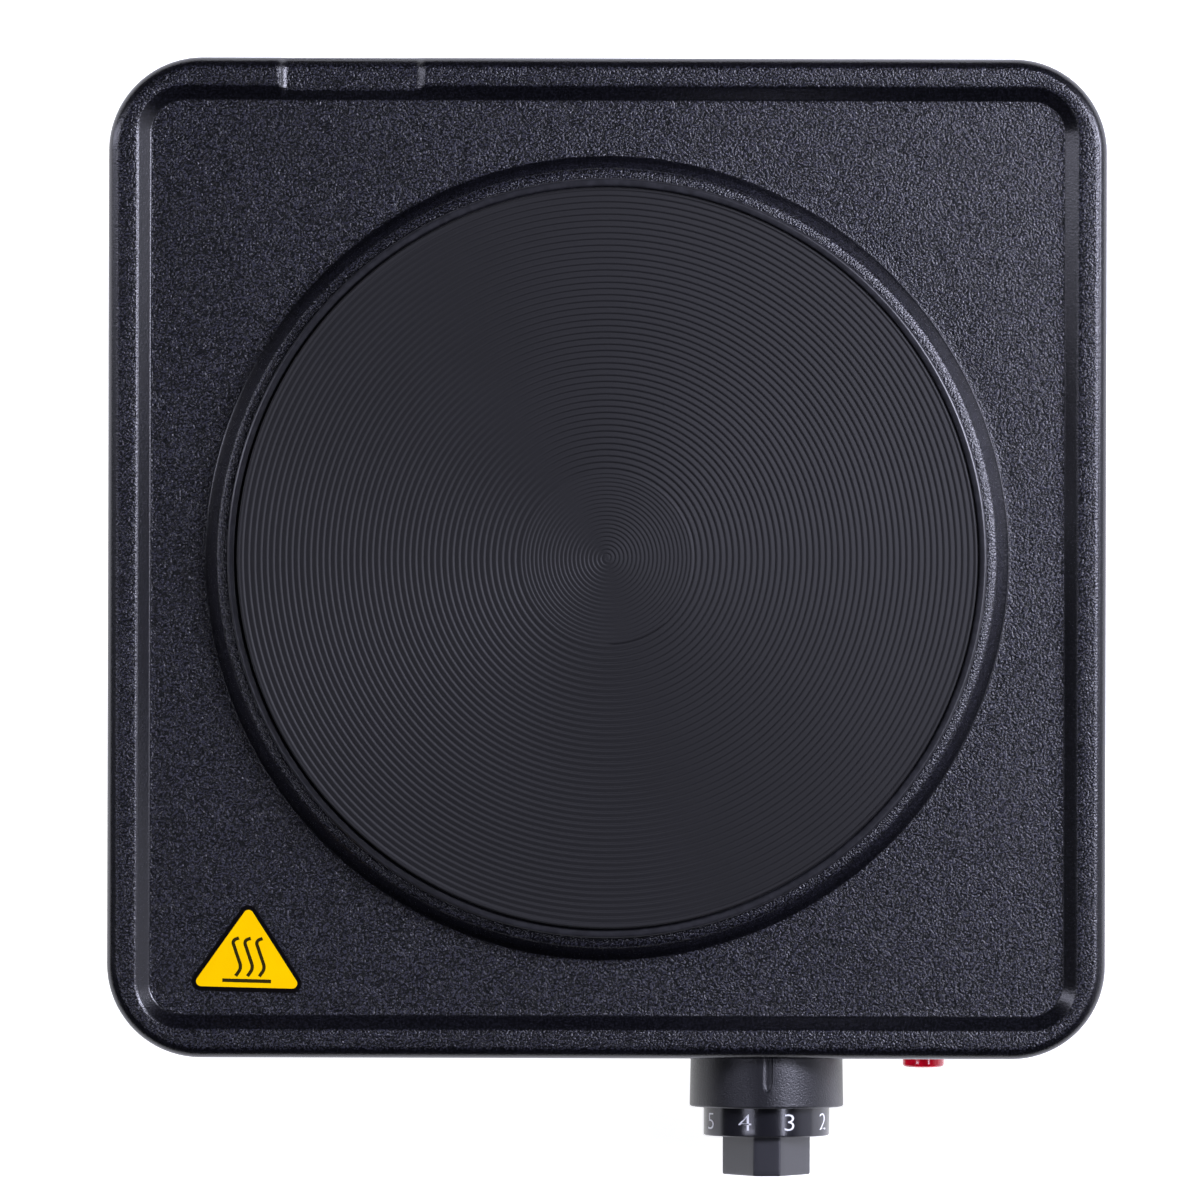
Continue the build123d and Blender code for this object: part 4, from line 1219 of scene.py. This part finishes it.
class HOTPLATE_OT_insulation(HotPlateOperator, Operator):
    """Finishes the ceramics, the terminal block, the feet and the inner leads"""

    bl_idname = "hotplate.insulation"
    bl_label = "Insulation, feet and leads"

    def execute(self, context):
        finish_nodes(fired_ceramic("pressed_ceramic", (0.58, 0.56, 0.51)), "ceramic_filler")
        steatite = fired_ceramic("white_ceramic", (0.80, 0.77, 0.70))
        finish_nodes(steatite, "terminal_beads", "spindle_tip", "stack_insulators", "bimetal_pin")
        block = moulded_plastic("lamp_plastic", (0.70, 0.68, 0.62), 0.5 * MM, 0.02 * MM, 0.42)
        finish_nodes(block, "lamp_body", "terminal_block")
        finish_nodes(foot_rubber(), "feet")
        brown = woven_sleeve("brown_sleeve", (0.16, 0.07, 0.035), (0.30, 0.15, 0.08))
        finish_nodes(brown, "live_lead", "switched_lead")
        finish_nodes(woven_sleeve("blue_sleeve", (0.03, 0.10, 0.38), (0.10, 0.22, 0.55)), "neutral_lead")
        finish_nodes(woven_sleeve("green_sleeve", (0.10, 0.36, 0.06), (0.80, 0.66, 0.05)), "earth_lead")
        finish_nodes(woven_sleeve("lamp_sleeve", (0.66, 0.64, 0.58), (0.78, 0.76, 0.70)), "lamp_leads")
        return {"FINISHED"}


class HOTPLATE_OT_stage(HotPlateOperator, Operator):
    """Makes the floor, the soft lights, the surroundings and the camera"""

    bl_idname = "hotplate.stage"
    bl_label = "Stage"

    def execute(self, context):
        sizes = self.sizes(context, "hot_plate_stage")
        self.floor(sizes)
        for name, (x, y, z), size, power in LIGHTS:
            self.light(context, name, (x, CASE_Y + y, z), size, power)
        self.surroundings(context)
        data = bpy.data.cameras.new("camera")
        data.sensor_width = 36.0
        data.lens = data.sensor_width * sizes.distance / sizes.view
        data.clip_start, data.clip_end = 0.05, 20.0
        camera = bpy.data.objects.new("camera", data)
        camera.location = (sizes.camera_x, CASE_Y + sizes.camera_y, RIM_Z + sizes.distance)
        camera.rotation_euler = (0, 0, CAMERA_ROLL)
        context.scene.collection.objects.link(camera)
        context.scene.camera = camera
        context.scene.view_settings.view_transform = "Standard"
        return {"FINISHED"}

    def floor(self, sizes):
        """A wide flat pale floor that glows a little, as a lit table does."""
        radius = np.array([0.0, 0.3, 1.0, 3.0, 6.0])
        profile = np.stack([radius, np.full(5, -0.0005)], axis=1)
        piece = make_piece("stage_floor", [(turned_z(profile, 64, 0.0, CASE_Y), False, True)])
        finish = Finish("stage_floor", roughness=0.6, specular=0.2, emission_strength=0.95)
        mottle = finish.noise(0.5, 2.0, 0.5)
        tint = tuple(sizes.floor)
        paint = finish.blend(mottle, shade(tint, 0.99), tint)
        finish.feed(base_color=paint, emission_color=paint)
        piece.data.materials.append(finish.material)

    def light(self, context, name, place, size, power):
        """A rectangular soft light that faces the plate."""
        data = bpy.data.lights.new(name, "AREA")
        data.shape = "RECTANGLE"
        data.size, data.size_y = size
        data.energy = power
        data.color = LIGHT_COLOUR
        lamp = bpy.data.objects.new(name, data)
        lamp.location = place
        target = Vector((PLATE_X, place[1], PLATE_HIGH.z))
        lamp.rotation_euler = (Vector(place) - target).to_track_quat("Z", "Y").to_euler()
        context.scene.collection.objects.link(lamp)

    def surroundings(self, context):
        """World light: a pale wall low down at the right, dark everywhere else."""
        world = bpy.data.worlds.new("studio")
        world.use_nodes = True
        nodes, links = world.node_tree.nodes, world.node_tree.links
        where = nodes.new("ShaderNodeTexCoord")
        split = nodes.new("ShaderNodeSeparateXYZ")
        ramp = nodes.new("ShaderNodeValToRGB")
        ramp.color_ramp.interpolation = "EASE"
        dark, pale = ramp.color_ramp.elements
        dark.position, dark.color = WALL_START, DARK_WALL
        pale.position, pale.color = WALL_FULL, PALE_WALL
        links.new(where.outputs["Generated"], split.inputs[0])
        links.new(split.outputs["X"], ramp.inputs[0])
        links.new(ramp.outputs[0], nodes["Background"].inputs[0])
        context.scene.world = world


class HOTPLATE_PT_panel(Panel):
    """Lists the hot plate's operators and sizes"""

    bl_label = "Hot Plate"
    bl_idname = "HOTPLATE_PT_panel"
    bl_space_type = "VIEW_3D"
    bl_region_type = "UI"
    bl_category = "Hot Plate"

    def draw(self, context):
        for operator in OPERATORS:
            self.layout.operator(operator.bl_idname)
        for name, group in GROUPS.items():
            box = self.layout.box()
            for key in group.__annotations__:
                box.prop(getattr(context.scene, name), key)


OPERATORS = (
    HOTPLATE_OT_case,
    HOTPLATE_OT_plate,
    HOTPLATE_OT_collar,
    HOTPLATE_OT_knob,
    HOTPLATE_OT_lamp,
    HOTPLATE_OT_sticker,
    HOTPLATE_OT_metal,
    HOTPLATE_OT_insulation,
    HOTPLATE_OT_stage,
)


def register():
    """Registers the classes and hangs the property groups on the scene."""
    for item in (*GROUPS.values(), *OPERATORS, HOTPLATE_PT_panel):
        bpy.utils.register_class(item)
    for name, group in GROUPS.items():
        setattr(bpy.types.Scene, name, PointerProperty(type=group))


def unregister():
    """Takes everything back out."""
    for name in GROUPS:
        delattr(bpy.types.Scene, name)
    for item in (HOTPLATE_PT_panel, *reversed(OPERATORS), *reversed(GROUPS.values())):
        bpy.utils.unregister_class(item)


def main():
    register()
    for operator in OPERATORS:
        module, name = operator.bl_idname.split(".")
        getattr(getattr(bpy.ops, module), name)()


if __name__ == "__main__":
    main()
